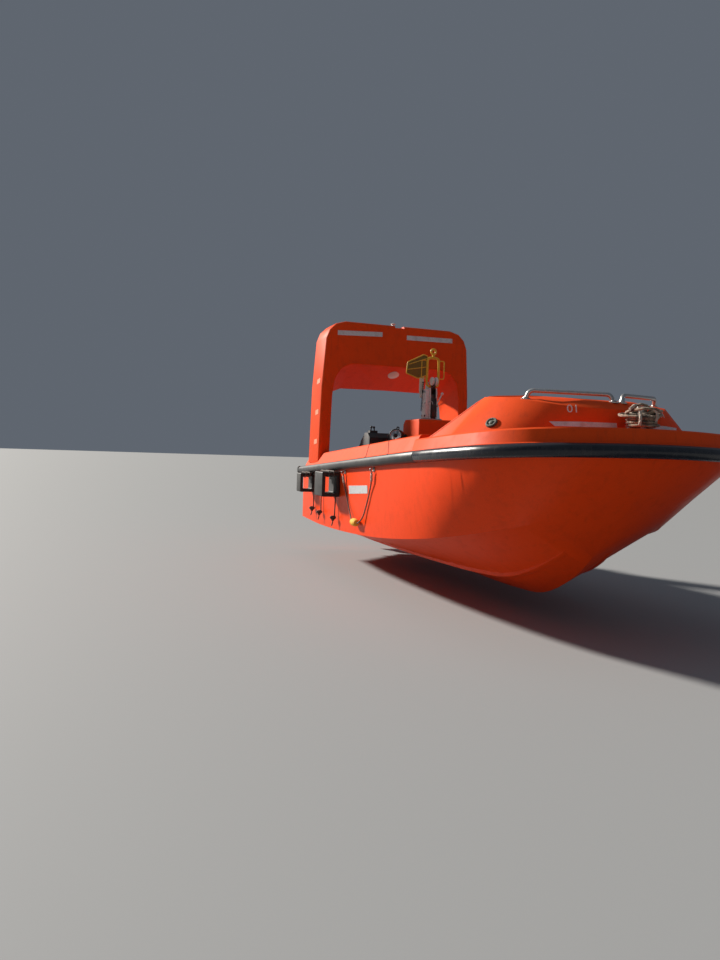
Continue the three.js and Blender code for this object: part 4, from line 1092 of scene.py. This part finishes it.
def arch_marks():
    for name, y0, z0, y1, z1 in ARCH_TAPES:
        top0, top1 = z0 + ARCH_TAPE_HEIGHT, z1 + ARCH_TAPE_HEIGHT
        across = [(y0, z0), (y1, z1), (y1, top1), (y0, top0)]
        corners = [(ARCH_FRONT, y, z) for y, z in across]
        decal(f"arch_tape_{name}", "arch", corners, (-1, 0, 0), 12, 3, "tape")
    for side, mirror in SIDES:
        for i, z in enumerate(LEG_MARK_HEIGHTS):
            corners = [
                (-1.91, -1 * mirror, z), (-1.80, -1 * mirror, z + 0.012),
                (-1.80, -1 * mirror, z + 0.062), (-1.91, -1 * mirror, z + 0.05),
            ]
            name = f"arch_leg_mark_{side}_{i + 1}"
            decal(name, "arch", corners, (0, mirror, 0), 6, 4, "faint_mark")


def soffit_light():
    """A flush round light under the arch."""
    at, normal = struck("arch", Vector((-1.86, 0.0, 1.2)), Vector((0, 0, 1)))
    lamp = [
        (0.0, -0.004), (0.062, -0.004), (0.062, 0.006), (0.052, 0.011), (0.030, 0.017), (0.0, 0.019),
    ]
    turned("soffit_light", at, normal, lamp, "lens", "light_white")


def arch_light():
    """The all-round light on the arch: foot, lens and cap, one on the other."""
    base, up, slot = Vector((-1.92, 0.0, 2.0063)), (0, 0, 1), "light_white"
    foot = [(0.0, 0.0), (0.026, 0.0), (0.026, 0.022), (0.021, 0.030), (0.0, 0.030)]
    lens = [
        (0.0, 0.030), (0.019, 0.030), (0.0205, 0.036), (0.0205, 0.066), (0.018, 0.071), (0.0, 0.071),
    ]
    cap = [(0.0, 0.071), (0.026, 0.071), (0.027, 0.076), (0.018, 0.0815), (0.0, 0.082)]
    turned("arch_light_foot", base, up, foot, "vent", slot, replaces="arch_light")
    turned("arch_light_lens", base, up, lens, "lens", slot)
    turned("arch_light_cap", base, up, cap, "white", slot)


FOUR_CORNERS = [(-1, -1), (-1, 1), (1, -1), (1, 1)]
BOLT_RADIUS = 0.007


def foot_bolts(name, centre, spread_x, spread_y):
    """Four hexagon bolt heads on a level plate."""
    made = []
    for i, (dx, dy) in enumerate(FOUR_CORNERS):
        at = Vector(centre) + Vector((dx * spread_x, dy * spread_y, 0))
        head = lathe(f"{name}_{i}", at, (0, 0, 1), drum(BOLT_RADIUS, -0.001, 0.006), 6)
        made.append(soften(head, 0.0008, 1))
    return dress(joined(name, *made), "steel")


# Cuddy fittings


def cuddy_tapes():
    """A level tape on each forward slope of the cuddy, its after end cut on a slant."""
    for side, mirror in SIDES:
        corners = [
            (1.855, -0.445 * mirror, 0.872), (1.945, -0.070 * mirror, 0.872),
            (1.940, -0.070 * mirror, 0.905), (1.842, -0.472 * mirror, 0.900),
        ]
        toward = (-0.96, 0.28 * mirror, -0.05)
        decal(f"cuddy_tape_{side}", "cuddy", corners, toward, 60, 4, "tape")


def plain_number():
    """A bare number on each side of the cuddy, where such boats carry their call sign."""
    for side, mirror in SIDES:
        data = bpy.data.curves.new("cuddy_number", "FONT")
        data.body = "01"
        data.size = 0.075
        data.extrude = 0.0006
        data.align_x = "CENTER"
        piece = bpy.data.objects.new(f"cuddy_number_{side}", data)
        bpy.context.scene.collection.objects.link(piece)
        make_active(piece)
        bpy.ops.object.convert(target="MESH")
        piece = take(f"cuddy_number_{side}")
        toward = Vector((-0.96, 0.28 * mirror, 0)).normalized()
        start = Vector((1.868, -0.329 * mirror, 0.958)) - toward * 0.3
        at, normal = struck("cuddy", start, toward)
        across = Vector((0, 0, 1)).cross(normal).normalized()
        turn = Matrix((across, normal.cross(across), normal)).transposed().to_4x4()
        piece.matrix_world = Matrix.Translation(at + normal * 0.0022) @ turn
        dress(settle(piece), "old_tape", smooth=0)


RAIL_RADIUS = 0.014
FLANGE = [
    (0.0, -0.003), (0.030, -0.003), (0.030, 0.003), (0.026, 0.005), (0.018, 0.006), (0.016, 0.011),
    (0.0, 0.011),
]


def handrails():
    for side, mirror in SIDES:
        after = Vector((1.600, -0.490 * mirror, 1.0453))
        ahead = Vector((1.850, -0.030 * mirror, 1.0353))
        sunk = Vector((0, 0, 0.010))
        route = [
            after - sunk, after + Vector((0.018, 0.012 * mirror, 0.052)),
            ahead + Vector((-0.014, -0.014 * mirror, 0.046)), ahead - sunk,
        ]
        tube(
            f"handrail_{side}_tube", rounded(route, 0.034, 8), RAIL_RADIUS, 6, "steel",
            "galvanised_steel", replaces=f"handrail_{side}",
        )
        for i, foot in enumerate((after, ahead)):
            at, normal = struck("cuddy", foot + Vector((0, 0, 0.04)), Vector((0, 0, -1)))
            name = f"handrail_{side}_flange_{i + 1}"
            turned(name, at, normal, FLANGE, "steel", "galvanised_steel")


def vent_caps():
    """A ring, a hub and three screws for each vent, square on the cuddy's slope."""
    rim = [
        (0.0, 0.0005), (0.038, 0.0005), (0.038, 0.009), (0.034, 0.014), (0.027, 0.014), (0.024, 0.008),
        (0.0, 0.008),
    ]
    hub = [(0.0, 0.007), (0.014, 0.007), (0.014, 0.012), (0.009, 0.0145), (0.0, 0.0145)]
    head = [(0.0, 0.0), (0.003, 0.0), (0.003, 0.0022), (0.0, 0.0028)]
    for side, mirror in SIDES:
        node = f"vent_cap_{side}"
        low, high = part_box(node)
        middle = (Vector(low) + Vector(high)) / 2
        toward = Vector((-0.33, 0.66 * mirror, -0.67)).normalized()
        at, normal = struck("cuddy", middle - toward * 0.15, toward)
        turned(f"vent_{side}_rim", at, normal, rim, "vent", "vent_grey", replaces=node)
        turned(f"vent_{side}_hub", at, normal, hub, "vent", "vent_grey")
        spoke = normal.orthogonal().normalized()
        for k in range(3):
            way = Matrix.Rotation(math.tau * k / 3, 3, normal) @ spoke
            seat = at + way * 0.0305 + normal * 0.0125
            name = f"vent_{side}_screw_{k + 1}"
            turned(name, seat, normal, head, "steel", "galvanised_steel", sides=10)


# Hook, ring and searchlight

HOOK_FOOT_TOP = 1.013
CHEEK_FACE = 0.0255
# Bolts through the hook's cheeks: x, z, radius
HOOK_BOLTS = [
    (-0.885, 1.040, 0.010), (-0.815, 1.040, 0.010), (-0.820, 1.160, 0.009), (-0.880, 1.273, 0.015),
    (-0.826, 1.265, 0.011),
]
BOLT_FACES = [("starboard", -0.0780), ("port", 0.0405)]
# The upper lug in y and z
UPPER_LUG = [
    (-0.040, 1.220), (-0.078, 1.220), (-0.088, 1.300), (-0.086, 1.460), (-0.074, 1.494),
    (-0.054, 1.496), (-0.042, 1.470),
]


def hook_post():
    """The white cheeks of the hook on their bare steel foot."""
    post = copy_of("hook_post", "hook_post_body", 0.0015)
    dress(post, "dark_steel", replaces="hook_post")
    foot = HOOK_FOOT_TOP
    painted(post, "white", lambda c, n: c.y < -CHEEK_FACE and c.z > foot)
    painted(post, "white", lambda c, n: abs(n.x) > 0.6 and c.y > CHEEK_FACE and c.z > foot)
    painted(post, "steel", lambda c, n: c.z < foot)
    foot_bolts("hook_foot_bolts", (-0.85, 0.0, 1.012), 0.070, 0.064)


def hook_bolts():
    for i, (x, z, radius) in enumerate(HOOK_BOLTS):
        head = [
            (0.0, -0.001), (radius, -0.001), (radius, 0.006), (radius * 0.6, 0.008), (0.0, 0.008),
        ]
        finish, sides = "dark_steel" if i % 2 else "steel", 6 if radius < 0.012 else 24
        for side, y in BOLT_FACES:
            out = (0, math.copysign(1, y), 0)
            name = f"hook_bolt_{side}_{i + 1}"
            turned(name, (x, y, z), out, head, finish, "galvanised_steel", sides=sides)


def hook_housings():
    """What is fixed to the hook's sides: the housing, the upper lug and its bracket, the cylinder."""
    cover = block("hook_side_housing", (-0.895, -0.078, 1.016), (-0.805, -0.0425, 1.295))
    shape(cover, lambda c, n: n.z > 0.9, grow((0.82, 1.0, 1.0)))
    dress(soften(cover, 0.004, 3), "white")
    lug = slab("hook_upper_lug", UPPER_LUG, -0.955, -0.946)
    dress(soften(lug, 0.0015), "white")
    low, high = (-0.954, -0.070, 1.226), (-0.890, -0.046, 1.284)
    eased_block("hook_lug_bracket", low, high, 0.003, "white")
    low, high = (-0.800, -0.024, 1.030), (-0.778, 0.026, 1.150)
    eased_block("hook_cylinder_box", low, high, 0.003, "dark_steel")
    route = [
        (-0.789, -0.014, 1.150), (-0.789, -0.014, 1.172), (-0.800, -0.034, 1.182),
        (-0.812, -0.046, 1.170),
    ]
    line = rounded(route, 0.008, 4)
    tube("hook_cylinder_pipe", line, 0.0035, 3, "steel", "galvanised_steel")


def jaw_pads():
    """The round white pads on both sides of the jaw."""
    pad = [
        (0.0, -0.010), (0.034, -0.010), (0.039, -0.004), (0.040, 0.004), (0.036, 0.011),
        (0.0, 0.0125),
    ]
    for i, y in enumerate((-0.017, 0.020)):
        at, out = (-0.808, y, 1.370), (0, math.copysign(1, y), 0)
        turned(f"jaw_pad_{i + 1}", at, out, pad, "white", "hook_white", "release_jaw", 40)


def release_lever():
    """The white lever in front of the post, with its round grip."""
    start, end = Vector((-0.792, 0.026, 1.140)), Vector((-0.778, 0.078, 1.254))
    arm = rod("release_lever_arm", start, end, 0.0062, 16)
    dress(arm, "white", replaces="release_lever")
    dress(ball("release_lever_grip", end, 0.0135), "white")
    boss = [
        (0.0, -0.030), (0.013, -0.030), (0.014, -0.024), (0.014, 0.016), (0.012, 0.019), (0.0, 0.019),
    ]
    at = (-0.803, 0.032, 1.140)
    turned("release_lever_boss", at, (0, 1, 0), boss, "steel", "galvanised_steel", sides=24)


CHAIN_TOP = Vector((-0.850, -0.092, 1.345))
CHAIN_LINKS = 16
LINK_PITCH = 0.0165


def hook_chain():
    """A short keeper chain that hangs beside the post, its links long and turned in turn."""
    for i in range(CHAIN_LINKS):
        at = CHAIN_TOP - Vector((0, 0.0006 * i, LINK_PITCH * i))
        axis = (1, 0, 0) if i % 2 else (0, 1, 0)
        link = hoop(f"keeper_link_{i + 1}", at, axis, 0.0072, 0.0019, 20)
        shape(link, lambda c, n: True, grow((1, 1, 1.45), center_override=at))
        dress(link, "dark_steel")
    behind, before = Vector((0, 0.014, 0.012)), Vector((0, -0.010, 0.012))
    lug = rod("keeper_lug", CHAIN_TOP + behind, CHAIN_TOP + before, 0.005, 16)
    dress(lug, "dark_steel")


RING_X, RING_BAR_Z, RING_HALF, RING_TOP = -0.840, 1.324, 0.060, 1.594
# How the ring's pieces are painted and what they move with
RING_LOOK = ("yellow", "hook_yellow", "lifting_ring")
FRAME_REACH = 0.058
# The guard plate from the ring's top, in y and z
GUARD = [
    (-0.060, 0.014), (-0.097, 0.026), (-0.262, -0.056), (-0.273, -0.160), (-0.152, -0.202),
    (-0.060, -0.165),
]
GUARD_STAYS = [((-0.070, -0.010), (-0.250, -0.075)), ((-0.070, -0.090), (-0.264, -0.125))]


def lifting_ring():
    """The oval ring, its thicker upper part and its two hand frames."""
    x, low, high = RING_X, RING_BAR_Z, RING_TOP
    oval = [
        (x, 0, low), (x, -RING_HALF, low), (x, -RING_HALF, high), (x, RING_HALF, high),
        (x, RING_HALF, low),
    ]
    line = ringed(oval, 0.030, 6)
    tube("ring_oval", line, 0.009, 5, *RING_LOOK, closed=True, replaces="lifting_ring")
    shoulder = low + 0.055
    thick = [
        (x, -RING_HALF, shoulder), (x, -RING_HALF, high), (x, RING_HALF, high),
        (x, RING_HALF, shoulder),
    ]
    tube("ring_upper_part", rounded(thick, 0.040, 8), 0.0122, 5, *RING_LOOK)
    for side, mirror in SIDES:
        inner, outer = -RING_HALF * mirror, -(RING_HALF + FRAME_REACH) * mirror
        foot, head = low + 0.075, low + 0.245
        corners = [(x, inner, foot), (x, outer, foot), (x, outer, head), (x, inner, head)]
        tube(f"hand_frame_{side}", rounded(corners, 0.018, 6), 0.005, 4, *RING_LOOK)


def ring_guard():
    """The guard plate beside the ring, with its rim and two stays."""
    outline = [(y, RING_TOP + z) for y, z in GUARD]
    plate = slab("guard_plate", outline, RING_X - 0.004, RING_X + 0.001)
    dress(soften(plate, 0.001), "olive", "lifting_ring")
    edge = [(RING_X - 0.0015, y, z) for y, z in outline]
    tube("guard_rim", ringed(edge, 0.012, 4), 0.0055, 4, *RING_LOOK, closed=True)
    for i, ends in enumerate(GUARD_STAYS):
        a, b = ((RING_X + 0.003, y, RING_TOP + z) for y, z in ends)
        stay = rod(f"guard_stay_{i + 1}", a, b, 0.004, 12)
        dress(stay, "yellow", "lifting_ring")


def ring_eye():
    """The shank on the ring and the eye above it."""
    shank = [
        (0.0, 0.0), (0.015, 0.0), (0.017, 0.008), (0.013, 0.012), (0.013, 0.026), (0.016, 0.030),
        (0.015, 0.038), (0.0, 0.040),
    ]
    turned("ring_shank", (RING_X, 0, RING_TOP + 0.002), (0, 0, 1), shank, *RING_LOOK)
    eye = hoop("ring_eye", (RING_X, 0, RING_TOP + 0.060), (1, 0, 0), 0.024, 0.0095, 40)
    dress(eye, "yellow", "lifting_ring")


LAMP = Vector((-0.880, -0.325, 0.840))
LAMP_TURN = math.radians(-40)
LAMP_AHEAD = Vector((math.cos(LAMP_TURN), math.sin(LAMP_TURN), 0))
LAMP_ACROSS = Vector((0.642788, 0.766044, 0))
LAMP_BODY = "searchlight_head"
# Radius and distance ahead of the lamp's middle
LAMP_SHELL = [
    (0.0, -0.060), (0.028, -0.060), (0.044, -0.055), (0.056, -0.043), (0.0605, -0.024),
    (0.0605, 0.010), (0.060, 0.044), (0.0645, 0.045), (0.0645, 0.056), (0.061, 0.0575),
    (0.0575, 0.054), (0.055, 0.050), (0.0, 0.050),
]
LAMP_GLASS = [
    (0.0, 0.0495), (0.0565, 0.0495), (0.0565, 0.0515), (0.044, 0.0545), (0.024, 0.0562),
    (0.0, 0.0567),
]
BULB_CAP = [(0.0, 0.0550), (0.020, 0.0550), (0.020, 0.0580), (0.016, 0.0600), (0.0, 0.0606)]
LAMP_KNOB = [(0.0, 0.0), (0.013, 0.0), (0.015, 0.002), (0.015, 0.010), (0.012, 0.012), (0.0, 0.0125)]
# The grip's bends, ahead of the lamp's middle and above it
LAMP_GRIP = [(-0.030, 0.050), (-0.040, 0.082), (0.028, 0.082), (0.022, 0.055)]


def lamp_part(name, profile, finish, slot, sides, **more):
    return turned(name, LAMP, LAMP_AHEAD, profile, finish, slot, LAMP_BODY, sides, **more)


def lamp_hoop(name, ahead, major, minor, finish):
    made = hoop(name, LAMP + LAMP_AHEAD * ahead, LAMP_AHEAD, major, minor, 64)
    return dress(made, finish, LAMP_BODY)


def searchlight():
    node, slot = "searchlight_head", "lamp_black"
    lamp_part("searchlight_shell", LAMP_SHELL, "cowl", slot, 48, replaces=node)
    lamp_hoop("searchlight_rim", 0.054, 0.0600, 0.0058, "block_rubber")
    lamp_hoop("searchlight_bezel", 0.055, 0.0525, 0.0030, "chrome")
    lamp_part("searchlight_glass", LAMP_GLASS, "glass", "light_white", 48)
    lamp_part("searchlight_bulb_cap", BULB_CAP, "dark_steel", "galvanised_steel", 24)
    for i, way in enumerate((-1, 1)):
        axis = LAMP_ACROSS * way
        pivot = rod(f"searchlight_pivot_{i + 1}", LAMP + axis * 0.030, LAMP + axis * 0.080, 0.008, 24)
        dress(pivot, "dark_steel", LAMP_BODY)
        name, at = f"searchlight_knob_{i + 1}", LAMP + axis * 0.0805
        turned(name, at, axis, LAMP_KNOB, "vinyl", slot, LAMP_BODY, 14)
    bends = [LAMP + LAMP_AHEAD * ahead + Vector((0, 0, up)) for ahead, up in LAMP_GRIP]
    tube("searchlight_grip", rounded(bends, 0.012, 5), 0.0055, 4, "vinyl", slot, LAMP_BODY)


# Helm

SEAT_LOW, SEAT_HIGH = Vector((-1.790, -0.550, 0.1603)), Vector((-1.560, -0.200, 0.530))
SEAT_LID = 0.478
CUSHION_FOOT, CUSHION_MIDDLE, CUSHION_HEAD = 0.479, 0.504, 0.529
CUSHION_LIMIT = 0.5297
CUSHION_MARGIN = 0.006
CUSHION_HALF = Vector((0.109, 0.169))


def helm_seat():
    """The seat's box with its panel, and the cushion on it."""
    low, high = SEAT_LOW, SEAT_HIGH
    box = block("helm_seat_box", low, (high.x, high.y, SEAT_LID))
    shape(box, lambda c, n: n.x > 0.9, inset(0.028), inset(0.004, -0.006))
    dress(soften(box, 0.008, 3), "deck", replaces="helm_seat")
    x0, y0 = low.x + CUSHION_MARGIN, low.y + CUSHION_MARGIN
    x1, y1 = high.x - CUSHION_MARGIN, high.y - CUSHION_MARGIN
    pad = block("helm_seat_cushion", (x0, y0, CUSHION_FOOT), (x1, y1, CUSHION_HEAD))
    pillow(pad)
    dress(soften(pad, 0.006, 3), "vinyl")
    seam = [(x, y, 0.515) for x, y in [(x0, y0), (x1, y0), (x1, y1), (x0, y1)]]
    line = ringed(seam, 0.012, 4)
    tube("cushion_piping", line, 0.0028, 3, "vinyl", "gelcoat_orange", closed=True)


def pillow(pad):
    """Crowns the pad's top: lower towards its edges, and slightly uneven."""
    middle = (SEAT_LOW + SEAT_HIGH) / 2
    make_active(pad)
    bpy.ops.object.mode_set(mode="EDIT")
    bpy.ops.mesh.select_all(action="SELECT")
    bpy.ops.mesh.subdivide(number_cuts=14)
    bpy.ops.object.mode_set(mode="OBJECT")
    for vertex in pad.data.vertices:
        u = (vertex.co.x - middle.x) / CUSHION_HALF.x
        v = (vertex.co.y - middle.y) / CUSHION_HALF.y
        edge = max(abs(u), abs(v))
        if vertex.co.z > CUSHION_MIDDLE:
            vertex.co.z -= 0.014 * edge**6 + 0.004 * (u * u + v * v) - 0.002
            vertex.co.z += 0.0012 * noise.noise(Vector((u * 3, v * 3, 0)))
            vertex.co.z = min(vertex.co.z, CUSHION_LIMIT)


CONSOLE_SLOPE = Vector((-0.578, 0.0, 0.816))
# Dials on the console: y and radius
DIALS = [(-0.285, 0.036), (-0.375, 0.030), (-0.448, 0.024)]


def console_dials():
    for i, (y, radius) in enumerate(DIALS):
        at, glass = Vector((-1.290, y, 0.8225)), radius * 0.82
        bezel = [
            (0.0, -0.002), (radius, -0.002), (radius, 0.004), (radius * 0.9, 0.007), (glass, 0.004),
            (0.0, 0.004),
        ]
        face = [(0.0, 0.0038), (glass, 0.0038), (glass, 0.0046), (0.0, 0.0050)]
        turned(f"dial_bezel_{i + 1}", at, CONSOLE_SLOPE, bezel, "chrome", "console_black")
        turned(f"dial_face_{i + 1}", at, CONSOLE_SLOPE, face, "dial", "console_black")


def console_switches():
    toggle = [(0.0, -0.002), (0.006, -0.002), (0.006, 0.006), (0.003, 0.015), (0.0, 0.0155)]
    for i in range(4):
        at = Vector((-1.322, -0.255 - i * 0.028, 0.800))
        name = f"console_switch_{i + 1}"
        turned(name, at, CONSOLE_SLOPE, toggle, "steel", "console_black", sides=12)


def console_locker():
    """The locker's door on the console's front, with two hinges and a latch."""
    low, high = (-1.0915, -0.490, 0.240), (-1.0855, -0.250, 0.620)
    eased_block("console_locker_door", low, high, 0.0025, "plastic")
    for i, z in enumerate((0.30, 0.56)):
        low, high = (-1.0865, -0.502, z - 0.022), (-1.0825, -0.470, z + 0.022)
        name = f"locker_hinge_{i + 1}"
        eased_block(name, low, high, 0.001, "steel", segments=1)
    knob = [(0.0, 0.0), (0.016, 0.0), (0.016, 0.004), (0.009, 0.010), (0.0, 0.010)]
    at = (-1.0855, -0.275, 0.43)
    turned("locker_latch", at, (1, 0, 0), knob, "steel", "galvanised_steel", sides=20)


# Motor

# The cowl's widest outline, in x and y
COWL_OUTLINE = [
    (-2.770, -0.110), (-2.770, 0.110), (-2.700, 0.1835), (-2.400, 0.1835), (-2.326, 0.110),
    (-2.326, -0.110), (-2.400, -0.1835), (-2.700, -0.1835),
]
COWL_SEAM = 0.492
COWL_SIDE = 0.176


def cowl_fittings():
    """The seam, latch and vents of the cowl."""
    line = ringed([(x, y, COWL_SEAM) for x, y in COWL_OUTLINE], 0.07, 6)
    tube("cowl_seam", line, 0.0045, 3, "rubber", "motor_black", "motor", closed=True)
    low, high = (-2.782, -0.035, 0.500), (-2.762, 0.035, 0.532)
    eased_block("cowl_latch", low, high, 0.004, "plastic", "motor")
    for side, mirror in SIDES:
        y = -COWL_SIDE * mirror
        for i in range(4):
            z = 0.545 + i * 0.018
            low, high = (-2.700, y - 0.005, z), (-2.600, y + 0.005, z + 0.007)
            name = f"cowl_vent_{side}_{i + 1}"
            eased_block(name, low, high, 0.0012, "plastic", "motor", 1)


def leg_fittings():
    """The trim tab, the propeller's nut and the clamp's bolts."""
    low, high = (-2.700, -0.006, -0.140), (-2.630, 0.006, -0.104)
    eased_block("trim_tab", low, high, 0.003, "steel", "motor")
    cone = [(0.0, 0.0), (0.020, 0.0), (0.018, 0.012), (0.009, 0.026), (0.0, 0.030)]
    at, astern = (-2.7225, 0, -0.220), (-1, 0, 0)
    turned("propeller_nut", at, astern, cone, "steel", "motor_grey", "propeller", 24)
    for i, (y, z) in enumerate([(-0.095, 0.28), (-0.095, 0.12), (0.095, 0.28), (0.095, 0.12)]):
        head = lathe(f"clamp_bolt_{i + 1}", (-2.305, y, z), astern, drum(0.009, -0.03, 0.010), 6)
        dress(soften(head, 0.0008, 1), "steel")


# Fittings along the hull's side

# Lifeline eyes: place along the boat and number
EYE_PLACES = [(-0.650, 1), (0.130, 2)]
EYE_SCREW = [(0.0, 0.0), (0.003, 0.0), (0.0026, 0.0014), (0.0, 0.002)]
EYE_SCREW_SPREAD = 0.0125


def lifeline_eyes():
    for side, mirror in SIDES:
        for x, number in EYE_PLACES:
            node = f"lifeline_eye_{side}_{number}"
            plate = copy_of(node, f"{node}_body", 0.0008)
            dress(plate, "steel", replaces=node)
            low, high = (Vector(corner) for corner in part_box(node))
            hull_side = high.y if mirror > 0 else low.y
            for i, (dx, dz) in enumerate(FOUR_CORNERS):
                at = (
                    x + dx * EYE_SCREW_SPREAD, hull_side - 0.0047 * mirror,
                    high.z - 0.018 + dz * EYE_SCREW_SPREAD,
                )
                name, out = f"{node}_screw_{i + 1}", (0, -mirror, 0)
                turned(name, at, out, EYE_SCREW, "dark_steel", "galvanised_steel", sides=10)


# Hung fenders: number, after and forward end, width, top
HUNG = [(1, -1.885, -1.735, 0.155, 0.434), (2, -1.060, -0.810, 0.170, 0.482)]
LASHING_RADIUS = 0.0055
LASHING_STEP = 0.006


def lashing(name, y, back, ahead, under, over):
    """A turn of line round a hung fender's upper wall, in a plane along the boat."""
    corners = [(back, y, under), (back, y, over), (ahead, y, over), (ahead, y, under)]
    loop = rounded([*corners, corners[0]], 0.018, 4)
    line = []
    for a, b in zip(loop, loop[1:]):
        steps = max(1, round((b - a).length / LASHING_STEP))
        line += [a.lerp(b, k / steps) for k in range(steps)]
    rope = sweep(name, line, LASHING_RADIUS, closed=True, sides=12)
    return dress(rope, "rope")


def hung_fenders():
    """The hollow rubber blocks under the gunwale, lashed through their bores."""
    for number, back, ahead, width, top in HUNG:
        node = f"hung_fender_{number}"
        body = copy_of(node, f"{node}_block", 0.009, 3)
        dress(body, "block_rubber", replaces=node)
        inner = max(corner[1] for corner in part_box(node))
        wall = width * 0.19
        for i, share in enumerate((0.36, 0.64)):
            lashing(
                f"fender_lashing_{number}_{i + 1}", inner - width * share, back - 0.010,
                ahead + 0.010, top - wall - 0.009, top + 0.0085,
            )


# Room and light

FLOOR_HEIGHT = -0.46
LIGHT_AIM = Vector((-0.2, 0, 0.4))
# Name, kind, place, angle or width, power, colour
LIGHTS = [
    ("key", "SUN", (-7.6, -5.0, 4.7), math.radians(5), 7.0, (1.0, 0.95, 0.87)),
    ("sky", "AREA", (1.5, -3.0, 8.5), 8.0, 60, (0.80, 0.89, 1.0)),
]


def pale_floor():
    deselect()
    bpy.ops.mesh.primitive_plane_add(size=160, location=(0, 0, FLOOR_HEIGHT))
    floor = take("pale_floor")
    material, _, skin = new_finish("pale_floor")
    fill(skin, Base_Color=(0.31, 0.315, 0.32, 1), Roughness=0.85)
    floor.data.materials.append(material)
    return floor


def studio_light(name, kind, place, size, power, colour):
    data = bpy.data.lights.new(name, kind)
    data.energy = power
    data.color = colour
    if kind == "SUN":
        data.angle = size
    else:
        data.size = size
    light = bpy.data.objects.new(name, data)
    bpy.context.scene.collection.objects.link(light)
    aim = (LIGHT_AIM - Vector(place)).to_track_quat("-Z", "Y")
    light.matrix_world = Matrix.Translation(place) @ aim.to_matrix().to_4x4()
    return light


def floor_and_light():
    pale_floor()
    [studio_light(*row) for row in LIGHTS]
    world = bpy.data.worlds.new("pale_room")
    world.use_nodes = True
    fill(world.node_tree.nodes["Background"], Color=(0.72, 0.83, 1.0, 1), Strength=0.16)
    bpy.context.scene.world = world
    bpy.context.scene.view_settings.view_transform = "Standard"


make_camera()
lifelines()
fender_tails()
mooring_heap()
softened_nodes()
coaming_seams()
fender_screws()
hull_marks()
arch_marks()
soffit_light()
arch_light()
foot_bolts("bitt_foot_bolts", (2.07, 0.0, 0.782), 0.034, 0.048)
cuddy_tapes()
plain_number()
handrails()
vent_caps()
hook_post()
hook_bolts()
hook_housings()
jaw_pads()
release_lever()
hook_chain()
lifting_ring()
ring_guard()
ring_eye()
searchlight()
helm_seat()
console_dials()
console_switches()
console_locker()
cowl_fittings()
leg_fittings()
lifeline_eyes()
hung_fenders()
floor_and_light()
